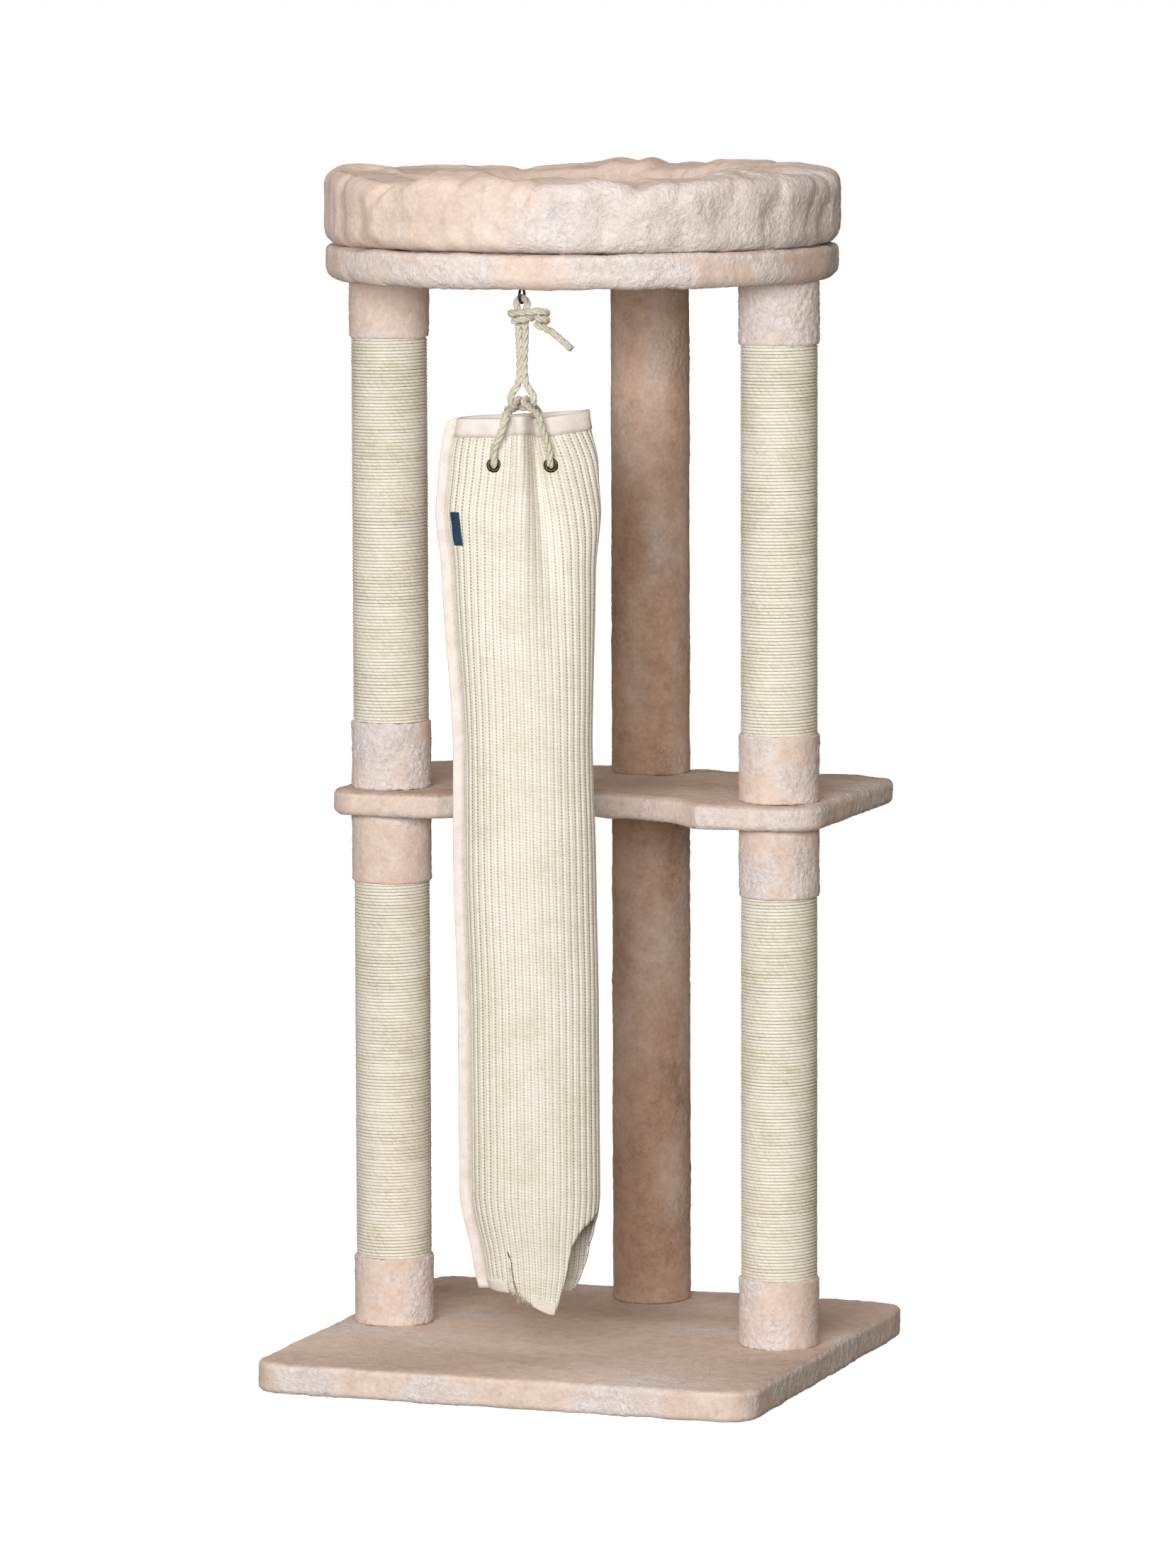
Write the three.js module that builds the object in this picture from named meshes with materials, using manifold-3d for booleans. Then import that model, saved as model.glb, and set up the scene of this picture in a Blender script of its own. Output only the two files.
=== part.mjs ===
// A cat tree: three posts stand on a square base, carry a shelf half way up and a round perch
// with a bed on top. A sleeve of ribbed cloth hangs on a rope from the perch, in front of the posts.
// Millimetres, +Z up, origin on the floor under the middle of the base, -Y is the front.
import * as THREE from 'three';
import { mergeVertices } from 'three/addons/utils/BufferGeometryUtils.js';
import Module from 'manifold-3d';

const wasm = await Module();
wasm.setup();

// ---- driving sizes ----
const GAP = 0.3; // left between pieces that touch
const FACETS = 18; // sides of a round post part
const ARC_STEPS = 6; // chords of an arc in an outline
const BORE_FACETS = 16; // sides of a counterbore
const OVERCUT = 1; // how far a cutting tool runs past the faces it opens

const BASE_SIZE = 610;
const BASE_CORNER = 38;
const BASE_BOARD_THICK = 28;
const PLUSH = 3.7; // pile and backing of the cloth glued on every board
const BASE_FOLD = 48; // how far the base cover is turned in under the board
const EDGE_ROUND = 6; // rounding of the covered edges

const POST_OFFSET = 241; // from the middle of the base to each post
const LOWER_LENGTH = 610;
const UPPER_LENGTH = 603;
const TUBE_DIAMETER = 80;
const TUBE_WALL = 6;
const PLUG_DEPTH = 30; // plugs fast in both ends of each tube
const COLLAR_THICK = 6;
const BASE_COLLAR = 80; // heights of the plush collars
const UNDER_SHELF_COLLAR = 81;
const OVER_SHELF_COLLAR = 78;
const TOP_COLLAR = 72;

const WINDING_LOOPS = 11; // each loop stands for about eleven turns of the rope
const WINDING_STEPS = 12;
const WINDING_THICK = 2.9;
const WINDING_GAP = 0.6; // between one loop and the next
const WINDING_GROOVE = 2.5; // how much each edge of a loop is drawn in on the outside

const BOLT_DIAMETER = 8;
const BOLT_CLEARANCE = 0.35; // all round a bolt in its hole
const BOLT_GRIP = 25; // length of bolt or stud in a plug
const BOLT_HEAD_HEIGHT = 5;
const BOLT_HEAD_WIDTH = 13;
const WASHER_DIAMETER = 22;
const WASHER_THICK = 1.6;
const COUNTERBORE_DIAMETER = 26;
const COUNTERBORE_DEPTH = 8;

const SHELF_HALF_WIDTH = 302;
const SHELF_FRONT = -66;
const SHELF_BACK = 285;
const SHELF_CORNER = 44;
const SHELF_BOARD_THICK = 22;
const BAY_RADIUS = 203; // the hollow front edge behind the hanging sleeve
const BAY_DEPTH = 78;

const PERCH_RADIUS = 298;
const PERCH_BOARD_THICK = 28;
const PERCH_PAD = 7.7; // padded top of the perch cover
const PERCH_ROUND = 13;
const PERCH_FACETS = 40;

const BOLSTER_RADIUS = 302;
const BOLSTER_WIDTH = 106;
const BOLSTER_HEIGHT = 95;
const BOLSTER_PUCKERS = 12;
const BOLSTER_PUCKER_DEPTH = 3;
const BED_CUSHION_HEIGHT = 40;
const BED_CUSHION_ROOM = 5; // between cushion and bolster

const HANG_Y = -205; // the sleeve hangs in front of the posts
const SLEEVE_TURN = THREE.MathUtils.degToRad(20);
const ROPE = 8;
const EYE_RING = 17; // middle of the wire, across the ring
const EYE_WIRE = 3;
const EYE_NECK = 0.5;
const EYE_SHANK_DIAMETER = 4;
const EYE_SHANK_GRIP = 20;
const LOOP_DROP = 24.2; // from the eye's wire to the foot of the loop
const LINK_RISE = 11; // from the sleeve's top edge to the foot of the strands
const BEND_REACH = 14; // from the middle to the widest part of the strands' foot
const LASH_TURNS = 1.1;
const KNOT_TURNS = 2;
const KNOT_X = 27;

const SLEEVE_TOP = 1132;
const SLEEVE_BOTTOM = 106;
const CLOTH = 3.5;
const TAPE = 1.2; // binding tape, folded over every edge of the cloth
const TOP_HEM = 20;
const BOTTOM_HEM = 13;
const SIDE_HEM = 13;
const EYELET_SPACING = 65;
const EYELET_DROP = 54; // below the top edge
const EYELET_WIDTH = 17;
const EYELET_FLANGE = 1;
const ROPE_ROOM = 0.9; // all round the rope in an eyelet
const TAB_WIDTH = 10;
const TAB_HEIGHT = 38;
const TAB_DROP = 108;
const TAB_THICK = 1;

// ---- heights worked out from them ----
const BASE_THICK = BASE_BOARD_THICK + 2 * (PLUSH + GAP);
const LOWER_FOOT = BASE_THICK + GAP;
const SHELF_UNDER = LOWER_FOOT + LOWER_LENGTH + GAP;
const SHELF_THICK = SHELF_BOARD_THICK + 2 * (PLUSH + GAP);
const UPPER_FOOT = SHELF_UNDER + SHELF_THICK + GAP;
const PERCH_UNDER = UPPER_FOOT + UPPER_LENGTH + GAP;
const PERCH_THICK = PLUSH + PERCH_BOARD_THICK + PERCH_PAD + 2 * GAP;
const PERCH_TOP = PERCH_UNDER + PERCH_THICK;
const TUBE_RADIUS = TUBE_DIAMETER / 2;
const COLLAR_INNER = TUBE_RADIUS + GAP * 1.2;
const COLLAR_OUTER = COLLAR_INNER + COLLAR_THICK;
const BOLT_HOLE = BOLT_DIAMETER / 2 + BOLT_CLEARANCE;
const POSTS = {
  left: [-POST_OFFSET, 0],
  right: [POST_OFFSET, 0],
  back: [0, POST_OFFSET],
};

// ---- materials ----
const finish = (color, roughness, metalness = 0) =>
  new THREE.MeshStandardMaterial({ color, roughness, metalness });
const plush = finish(0xdcc8b8, 0.95);
const sisal = finish(0xd9d3b8, 0.9);
const cotton = finish(0xefe9d4, 0.9);
const tape = finish(0xe8dfd6, 0.85);
const fibreboard = finish(0xb99a72, 0.8);
const cardboard = finish(0xa98a63, 0.85);
const steel = finish(0xb8bbbd, 0.35, 1);
const darkSteel = finish(0x3c3a38, 0.4, 1);
const bronze = finish(0x6a5640, 0.4, 1);
const blueTape = finish(0x25406b, 0.7);

const part = new THREE.Group();
function add(parent, name, geometry, material, [x, y, z] = [0, 0, 0]) {
  const mesh = new THREE.Mesh(geometry, material);
  mesh.name = name;
  mesh.position.set(x, y, z);
  parent.add(mesh);
  return mesh;
}

// ---- cutting and joining ----
function solid(geometry) {
  const plain = geometry.index ? geometry.toNonIndexed() : geometry.clone();
  plain.deleteAttribute('normal');
  plain.deleteAttribute('uv');
  const merged = mergeVertices(plain, 1e-3);
  return new wasm.Manifold(new wasm.Mesh({
    numProp: 3,
    vertProperties: merged.attributes.position.array,
    triVerts: new Uint32Array(merged.index.array),
  }));
}

function geometryOf(made) {
  const { vertProperties, triVerts } = made.getMesh();
  const geometry = new THREE.BufferGeometry();
  geometry.setAttribute('position', new THREE.BufferAttribute(vertProperties, 3));
  geometry.setIndex(new THREE.BufferAttribute(triVerts, 1));
  geometry.computeVertexNormals();
  return geometry;
}

const cut = (body, tools) => geometryOf(
  tools.reduce((left, tool) => left.subtract(solid(tool)), solid(body)),
);
const join = (geometries) => geometryOf(
  geometries.slice(1).reduce((sum, more) => sum.add(solid(more)), solid(geometries[0])),
);

// ---- basic shapes ----
const upright = new THREE.Vector3(0, 0, 1);
const at = (x, y, z) => new THREE.Vector3(x, y, z);

// A disc or rod that stands on z, at a place in plan.
function rod(radius, z0, z1, [x, y] = [0, 0], sides = 10) {
  return new THREE.CylinderGeometry(radius, radius, z1 - z0, sides)
    .rotateX(Math.PI / 2)
    .translate(x, y, (z0 + z1) / 2);
}

// A profile of [radius, height] points, turned about the Z axis.
function turned(profile, sides, closed = true) {
  const points = profile.map(([r, z]) => new THREE.Vector2(r, z));
  if (closed) points.push(points[0].clone());
  return new THREE.LatheGeometry(points, sides).rotateX(Math.PI / 2);
}

// A slab over an outline, from z0 to z1, its edges rounded in so many steps.
function slab(outline, z0, z1, round = 0, roundSteps = 1) {
  return new THREE.ExtrudeGeometry(outline, {
    depth: z1 - z0 - 2 * round,
    bevelEnabled: round > 0,
    bevelThickness: round,
    bevelSize: round,
    bevelOffset: -round,
    bevelSegments: roundSteps,
    curveSegments: ARC_STEPS / 2,
  }).translate(0, 0, z0 + round);
}

function squareOutline(half, corner) {
  const shape = new THREE.Shape();
  const c = half - corner;
  shape.absarc(c, c, corner, 0, Math.PI / 2);
  shape.absarc(-c, c, corner, Math.PI / 2, Math.PI);
  shape.absarc(-c, -c, corner, Math.PI, 1.5 * Math.PI);
  shape.absarc(c, -c, corner, 1.5 * Math.PI, 2 * Math.PI);
  return shape;
}

// The shelf seen from above, drawn in by inset: a rectangle with a hollow front edge.
function shelfOutline(inset) {
  const shape = new THREE.Shape();
  const corner = SHELF_CORNER - inset;
  const x = SHELF_HALF_WIDTH - inset - corner;
  const front = SHELF_FRONT + inset;
  const back = SHELF_BACK - inset - corner;
  const bay = BAY_RADIUS + inset;
  const bayY = SHELF_FRONT + BAY_DEPTH - BAY_RADIUS;
  const bayStart = Math.asin((front - bayY) / bay);
  shape.absarc(x, back, corner, 0, Math.PI / 2);
  shape.absarc(-x, back, corner, Math.PI / 2, Math.PI);
  shape.absarc(-x, front + corner, corner, Math.PI, 1.5 * Math.PI);
  shape.absarc(0, bayY, bay, Math.PI - bayStart, bayStart, true);
  shape.absarc(x, front + corner, corner, 1.5 * Math.PI, 2 * Math.PI);
  return shape;
}

function discOutline(radius) {
  const points = [...Array(PERCH_FACETS).keys()].map((i) => {
    const turn = (i / PERCH_FACETS) * 2 * Math.PI;
    return new THREE.Vector2(Math.cos(turn) * radius, Math.sin(turn) * radius);
  });
  return new THREE.Shape(points);
}

// A closed skin over a grid of points: rows[i][j], closed round j, and round i too if it loops.
// The rows may run either way round: the faces are turned to point out.
function skin(rows, loops) {
  const across = rows[0].length;
  const position = rows.flat().flatMap((p) => [p.x, p.y, p.z]);
  const index = [];
  const last = loops ? rows.length : rows.length - 1;
  for (let i = 0; i < last; i++) {
    const near = i * across;
    const far = ((i + 1) % rows.length) * across;
    for (let j = 0; j < across; j++) {
      const k = (j + 1) % across;
      index.push(near + j, near + k, far + k, near + j, far + k, far + j);
    }
  }
  if (!loops) {
    const end = last * across;
    for (let j = 1; j < across - 1; j++) {
      index.push(0, j + 1, j, end, end + j, end + j + 1);
    }
  }
  if (signedVolume(rows.flat(), index) < 0) index.reverse();
  const geometry = new THREE.BufferGeometry();
  geometry.setAttribute('position', new THREE.Float32BufferAttribute(position, 3));
  geometry.setIndex(index);
  geometry.computeVertexNormals();
  return geometry;
}

function signedVolume(points, index) {
  const cross = new THREE.Vector3();
  let sum = 0;
  for (let i = 0; i < index.length; i += 3) {
    const [a, b, c] = [points[index[i]], points[index[i + 1]], points[index[i + 2]]];
    sum += cross.crossVectors(b, c).dot(a) / 6;
  }
  return sum;
}

// A round rope along chosen points.
function rope(points, steps) {
  const section = new THREE.Shape();
  for (let side = 0; side < 8; side++) {
    const a = (side / 8) * 2 * Math.PI;
    const [x, y] = [Math.cos(a) * ROPE / 2, Math.sin(a) * ROPE / 2];
    if (side) section.lineTo(x, y);
    else section.moveTo(x, y);
  }
  const extrudePath = new THREE.CatmullRomCurve3(points, false, 'centripetal');
  return new THREE.ExtrudeGeometry(section, { steps, extrudePath, bevelEnabled: false });
}

// ---- base ----
const postPlaces = Object.values(POSTS);
const BOARD_INSET = PLUSH + GAP;

function baseBoard() {
  const outline = squareOutline(BASE_SIZE / 2 - BOARD_INSET, BASE_CORNER - BOARD_INSET);
  const top = BOARD_INSET + BASE_BOARD_THICK;
  const seat = BOARD_INSET + COUNTERBORE_DEPTH;
  return cut(slab(outline, BOARD_INSET, top), postPlaces.flatMap((place) => [
    rod(BOLT_HOLE, BOARD_INSET - OVERCUT, top + OVERCUT, place),
    rod(COUNTERBORE_DIAMETER / 2, BOARD_INSET - OVERCUT, seat, place, BORE_FACETS),
  ]));
}

// Plush over the top and sides, turned in under the board as a border.
function baseCover() {
  const half = BASE_SIZE / 2;
  const outer = slab(squareOutline(half, BASE_CORNER), 0, BASE_THICK, EDGE_ROUND, 2);
  const room = slab(squareOutline(half - PLUSH, BASE_CORNER - PLUSH), PLUSH, BASE_THICK - PLUSH);
  const window = slab(squareOutline(half - BASE_FOLD, EDGE_ROUND), -OVERCUT, PLUSH + OVERCUT);
  const holes = postPlaces.map((place) =>
    rod(BOLT_HOLE, BASE_THICK - PLUSH - OVERCUT, BASE_THICK + OVERCUT, place));
  return cut(outer, [room, window, ...holes]);
}

add(part, 'base_board', baseBoard(), fibreboard);
add(part, 'base_cover', baseCover(), plush);

// A hexagon bolt from its head up: head, then shank.
function bolt(shank) {
  return join([
    rod(BOLT_HEAD_WIDTH / 2 / Math.cos(Math.PI / 6), 0, BOLT_HEAD_HEIGHT, [0, 0], 6),
    rod(BOLT_DIAMETER / 2, BOLT_HEAD_HEIGHT - OVERCUT, BOLT_HEAD_HEIGHT + shank),
  ]);
}

const washer = () => turned([
  [BOLT_HOLE, 0],
  [WASHER_DIAMETER / 2, 0],
  [WASHER_DIAMETER / 2, WASHER_THICK],
  [BOLT_HOLE, WASHER_THICK],
], 10);

const baseSeat = BOARD_INSET + COUNTERBORE_DEPTH - GAP; // the washers' upper faces
const baseShank = WASHER_THICK + 2 * GAP + BASE_THICK - BOARD_INSET - COUNTERBORE_DEPTH + GAP + BOLT_GRIP;
for (const [side, [x, y]] of Object.entries(POSTS)) {
  const head = baseSeat - WASHER_THICK - GAP - BOLT_HEAD_HEIGHT;
  add(part, `base_bolt_${side}`, bolt(baseShank), steel, [x, y, head]);
  add(part, `base_washer_${side}`, washer(), steel, [x, y, baseSeat - WASHER_THICK]);
}

// ---- posts ----
// A paper tube with a bored wooden plug fast in each end.
function tubeWithPlugs(length) {
  const inner = TUBE_RADIUS - TUBE_WALL;
  return turned([
    [BOLT_HOLE, 0],
    [TUBE_RADIUS, 0],
    [TUBE_RADIUS, length],
    [BOLT_HOLE, length],
    [BOLT_HOLE, length - PLUG_DEPTH],
    [inner, length - PLUG_DEPTH],
    [inner, PLUG_DEPTH],
    [BOLT_HOLE, PLUG_DEPTH],
  ], FACETS);
}

// A sleeve of plush round a tube, its free edges rolled over.
function collar(height) {
  const roll = COLLAR_THICK / 3;
  return turned([
    [COLLAR_INNER, 0],
    [COLLAR_OUTER, 0],
    [COLLAR_OUTER, height - roll],
    [COLLAR_OUTER - roll, height],
    [COLLAR_INNER, height],
  ], FACETS);
}

// Sisal wound in one run from one collar to the next. Its first and last loops taper to nothing,
// so the run starts and ends flush with the collars.
function winding(height) {
  const inner = (TUBE_RADIUS + GAP) / Math.cos(Math.PI / WINDING_STEPS) + GAP / 2;
  const outer = inner + WINDING_THICK;
  const pitch = height / (WINDING_LOOPS - 1);
  const rows = [];
  for (let step = 1; step < WINDING_LOOPS * WINDING_STEPS; step++) {
    const turn = step / WINDING_STEPS;
    const angle = turn * 2 * Math.PI;
    const low = Math.max(0, pitch * (turn - 1) + WINDING_GAP);
    const high = Math.min(height, pitch * turn);
    const groove = Math.min(WINDING_GROOVE, (high - low) / 4);
    rows.push([[inner, low], [outer, low + groove], [outer, high - groove], [inner, high]]
      .map(([r, z]) => at(Math.cos(angle) * r, Math.sin(angle) * r, z)));
  }
  return { geometry: skin(rows, false), gap: leastGap(rows) };
}

// The least distance from any point of a winding to the points and edges one loop on.
function leastGap(rows) {
  let least = Infinity;
  const edge = new THREE.Line3();
  const foot = new THREE.Vector3();
  for (let i = 0; i + WINDING_STEPS + 1 < rows.length; i++) {
    for (const point of rows[i]) {
      for (const j of [i + WINDING_STEPS - 1, i + WINDING_STEPS]) {
        for (let corner = 0; corner < 4; corner++) {
          edge.set(rows[j][corner], rows[j + 1][corner]).closestPointToPoint(point, true, foot);
          least = Math.min(least, foot.distanceTo(point));
        }
      }
    }
  }
  return least;
}

function addPost(level, side, foot, length, lowCollar, highCollar) {
  const [x, y] = POSTS[side];
  const name = `${level}_${side}`;
  add(part, `${name}_tube`, tubeWithPlugs(length), cardboard, [x, y, foot]);
  if (side === 'back') {
    add(part, `${name}_plush_sleeve`, collar(length), plush, [x, y, foot]);
    return;
  }
  add(part, `${name}_low_collar`, collar(lowCollar), plush, [x, y, foot]);
  add(part, `${name}_high_collar`, collar(highCollar), plush, [x, y, foot + length - highCollar]);
  const { geometry, gap } = winding(length - lowCollar - highCollar - 2 * GAP);
  add(part, `${name}_sisal`, geometry, sisal, [x, y, foot + lowCollar + GAP]);
  console.log(`${name}_sisal least gap to itself ${gap.toFixed(2)} mm`);
}

for (const [side, [x, y]] of Object.entries(POSTS)) {
  addPost('lower', side, LOWER_FOOT, LOWER_LENGTH, BASE_COLLAR, UNDER_SHELF_COLLAR);
  addPost('upper', side, UPPER_FOOT, UPPER_LENGTH, OVER_SHELF_COLLAR, TOP_COLLAR);
  const stud = rod(BOLT_DIAMETER / 2, SHELF_UNDER - GAP - BOLT_GRIP, UPPER_FOOT + BOLT_GRIP);
  add(part, `shelf_stud_${side}`, stud, steel, [x, y, 0]);
}

// ---- shelf ----
const shelfHoles = (z0, z1) => postPlaces.map((place) =>
  rod(BOLT_HOLE, z0 - OVERCUT, z1 + OVERCUT, place));
const shelfTop = SHELF_UNDER + SHELF_THICK;
add(part, 'shelf_board', cut(
  slab(shelfOutline(BOARD_INSET), SHELF_UNDER + BOARD_INSET, shelfTop - BOARD_INSET),
  shelfHoles(SHELF_UNDER, shelfTop),
), fibreboard);
add(part, 'shelf_cover', cut(
  slab(shelfOutline(0), SHELF_UNDER, shelfTop, EDGE_ROUND, 2),
  [
    slab(shelfOutline(PLUSH), SHELF_UNDER + PLUSH, shelfTop - PLUSH),
    ...shelfHoles(SHELF_UNDER, shelfTop),
  ],
), plush);

// ---- perch ----
const perchBoardUnder = PERCH_UNDER + BOARD_INSET;
const perchBoardTop = perchBoardUnder + PERCH_BOARD_THICK;
const perchSeat = perchBoardTop - COUNTERBORE_DEPTH;
const eyeHole = (z0, z1) => rod(EYE_SHANK_DIAMETER / 2 + GAP, z0, z1, [0, HANG_Y], 8);
const eyeShankTop = perchBoardUnder + EYE_SHANK_GRIP;
add(part, 'perch_board', cut(
  slab(discOutline(PERCH_RADIUS - PERCH_PAD - GAP), perchBoardUnder, perchBoardTop),
  [
    ...postPlaces.flatMap((place) => [
      rod(BOLT_HOLE, PERCH_UNDER, PERCH_TOP, place),
      rod(COUNTERBORE_DIAMETER / 2, perchSeat, PERCH_TOP, place, BORE_FACETS),
    ]),
    eyeHole(PERCH_UNDER, eyeShankTop + GAP),
  ],
), fibreboard);
// The bolts are reached through holes in the padded top, which the bed then hides.
add(part, 'perch_cover', cut(
  slab(discOutline(PERCH_RADIUS), PERCH_UNDER, PERCH_TOP, PERCH_ROUND, 2),
  [
    slab(discOutline(PERCH_RADIUS - PERCH_PAD), PERCH_UNDER + PLUSH, perchBoardTop + GAP),
    ...postPlaces.flatMap((place) => [
      rod(BOLT_HOLE, PERCH_UNDER - OVERCUT, PERCH_UNDER + PLUSH + OVERCUT, place),
      rod(COUNTERBORE_DIAMETER / 2, perchBoardTop - OVERCUT, PERCH_TOP + OVERCUT, place, BORE_FACETS),
    ]),
    eyeHole(PERCH_UNDER - OVERCUT, PERCH_UNDER + PLUSH + OVERCUT),
  ],
), plush);

const perchShank = WASHER_THICK + 2 * GAP + perchSeat - PERCH_UNDER + GAP + BOLT_GRIP;
for (const [side, [x, y]] of Object.entries(POSTS)) {
  const washerUnder = perchSeat + GAP;
  const head = washerUnder + WASHER_THICK + GAP + BOLT_HEAD_HEIGHT;
  const made = add(part, `perch_bolt_${side}`, bolt(perchShank), steel, [x, y, head]);
  made.rotation.x = Math.PI; // head up
  add(part, `perch_washer_${side}`, washer(), steel, [x, y, washerUnder]);
}

// ---- bed ----
// A stuffed ring, flat where it lies on the perch, gathered at even puckers.
function bolster() {
  const around = 36;
  const across = 12;
  const middle = BOLSTER_RADIUS - BOLSTER_WIDTH / 2;
  const rows = [];
  for (let i = 0; i < around; i++) {
    const turn = (i / around) * 2 * Math.PI;
    const draw = BOLSTER_PUCKER_DEPTH * (0.5 + 0.5 * Math.cos(BOLSTER_PUCKERS * turn));
    rows.push([...Array(across).keys()].map((j) => {
      const a = (j / across) * 2 * Math.PI;
      const side = Math.sign(Math.cos(a)) * Math.abs(Math.cos(a)) ** 0.8;
      const rise = Math.sign(Math.sin(a)) * Math.abs(Math.sin(a)) ** 0.8;
      const r = middle + side * (BOLSTER_WIDTH / 2 - draw);
      const z = BOLSTER_HEIGHT / 2 + rise * (BOLSTER_HEIGHT / 2 - (rise > 0 ? draw : 0));
      return at(Math.cos(turn) * r, Math.sin(turn) * r, z);
    }));
  }
  return skin(rows, true);
}

// A crowned round cushion with drawn-in sides.
function bedCushion() {
  const r = BOLSTER_RADIUS - BOLSTER_WIDTH - BED_CUSHION_ROOM;
  const h = BED_CUSHION_HEIGHT;
  return turned([
    [0, 0],
    [0.93 * r, 0],
    [r, 0.3 * h],
    [0.985 * r, 0.55 * h],
    [0.85 * r, 0.8 * h],
    [0.5 * r, 0.95 * h],
    [0, h],
  ], PERCH_FACETS - 10, false);
}

const bedFoot = PERCH_TOP + GAP;
add(part, 'bed_bolster', bolster(), plush, [0, 0, bedFoot]);
add(part, 'bed_cushion', bedCushion(), plush, [0, 0, bedFoot]);

// ---- screw eye and rope ----
const eyeCentre = PERCH_UNDER - EYE_NECK - EYE_RING / 2 - EYE_WIRE / 2;
const wireHeight = eyeCentre - EYE_RING / 2; // middle of the wire at the foot of the eye
const hanging = new THREE.Group();
hanging.position.set(0, HANG_Y, 0);
part.add(hanging);

add(hanging, 'screw_eye', join([
  new THREE.TorusGeometry(EYE_RING / 2, EYE_WIRE / 2, 6, 16)
    .rotateY(Math.PI / 2)
    .translate(0, 0, eyeCentre),
  rod(EYE_SHANK_DIAMETER / 2, eyeCentre + EYE_RING / 2, eyeShankTop, [0, 0], 8),
]), darkSteel);

const strand = (ROPE + 2 * GAP) / 2; // from the middle to each of the two strands
const wrap = strand + ROPE + GAP; // radius of a turn of rope round both strands
const loopFoot = wireHeight - LOOP_DROP; // the loop in the eye meets the two strands here
const linkHeight = SLEEVE_TOP + LINK_RISE; // middle of the rope at the foot of the two strands
const mirrored = (points) => [...points, ...points.slice().reverse()
  .filter(({ x }) => x !== 0).map(({ x, y, z }) => at(-x, y, z))];

// Points on a helix of rope round a vertical axis at x, y.
function helix([x, y], radius, start, turns, z0, z1, steps) {
  return [...Array(steps + 1).keys()].map((i) => {
    const a = start + (i / steps) * turns * 2 * Math.PI;
    return at(x + Math.cos(a) * radius, y + Math.sin(a) * radius, z0 + (i / steps) * (z1 - z0));
  });
}

// The loop runs over the eye's wire in a half circle, so it can slide from side to side.
const overWire = EYE_WIRE / 2 + ROPE / 2 + 2 * GAP;
add(hanging, 'rope_eye_loop', rope(mirrored([
  at(-strand, 0, loopFoot),
  at(-strand, 0, loopFoot + 12),
  at(-overWire, 0, wireHeight - 5),
  at(-overWire, 0, wireHeight),
  at(-overWire * Math.SQRT1_2, 0, wireHeight + overWire * Math.SQRT1_2),
  at(0, 0, wireHeight + overWire),
]), 20), sisal);

// The rope's end lashes the loop once, then is knotted beside it, and its tail hangs loose.
const forward = -Math.PI / 2;
const lashFoot = loopFoot + ROPE / 2 + 2 * GAP;
const lashRise = LASH_TURNS * (ROPE + 2 * GAP);
const knotRadius = ROPE * 0.68;
const knotPlace = [KNOT_X, knotRadius - wrap];
const knotTop = loopFoot + 2 * ROPE;
const knotFoot = knotTop - KNOT_TURNS * (ROPE + 2 * GAP);
const tail = [[12, -1, -5], [25, -3, -14], [39, -4, -25]]; // from the foot of the knot
add(hanging, 'rope_lashing', rope([
  ...helix([0, 0], wrap, forward - LASH_TURNS * 2 * Math.PI, LASH_TURNS, lashFoot, lashFoot + lashRise, 12),
  at(KNOT_X / 2, -wrap, knotTop - 1),
  ...helix(knotPlace, knotRadius, forward, KNOT_TURNS, knotTop, knotFoot, 16),
  ...tail.map(([x, y, z]) => at(KNOT_X + x, y - wrap, knotFoot + z)),
], 40), sisal);

// Two strands side by side, joined at the foot by a wide bend that holds the sleeve's bridle.
add(hanging, 'rope_strands', rope(mirrored([
  at(-strand, 0, loopFoot - GAP),
  at(-strand, 0, linkHeight + 28),
  at(-BEND_REACH + 2, 0, linkHeight + 15),
  at(-BEND_REACH, 0, linkHeight + 8),
  at(-BEND_REACH + 2.4, 0, linkHeight + 1.8),
  at(-ROPE - 1, 0, linkHeight),
]), 32), sisal);

// ---- sleeve ----
// Outline of the sleeve: height, left edge, right edge and half depth of its tube.
const SLEEVE_STATIONS = [
  [1134, -73, 82, 25],
  [1080, -80, 93, 27],
  [1022, -85, 95, 31],
  [955, -78, 85, 38],
  [760, -67, 80, 45],
  [612, -68, 83, 44],
  [233, -63, 85, 42],
  [150, -45, 72, 35],
  [96, -32, 60, 28],
];
// At the top of the front a fold stands out, with a valley beside it: place, half width, depth.
const FOLDS = [[-5, 9, 9], [14, 7, -7]];
const FOLD_LENGTH = 300;
const VENT_HEIGHT = 108; // the sleeve is open up its right edge
const VENT_ANGLE = THREE.MathUtils.degToRad(52);

function station(z) {
  const next = Math.min(Math.max(SLEEVE_STATIONS.findIndex(([height]) => height <= z), 1),
    SLEEVE_STATIONS.length - 1);
  const [low, high] = [SLEEVE_STATIONS[next], SLEEVE_STATIONS[next - 1]];
  const share = THREE.MathUtils.smootherstep(z, low[0], high[0]) * 0.35
    + THREE.MathUtils.clamp((z - low[0]) / (high[0] - low[0]), 0, 1) * 0.65;
  return [1, 2, 3].map((k) => THREE.MathUtils.lerp(low[k], high[k], share));
}

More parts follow.
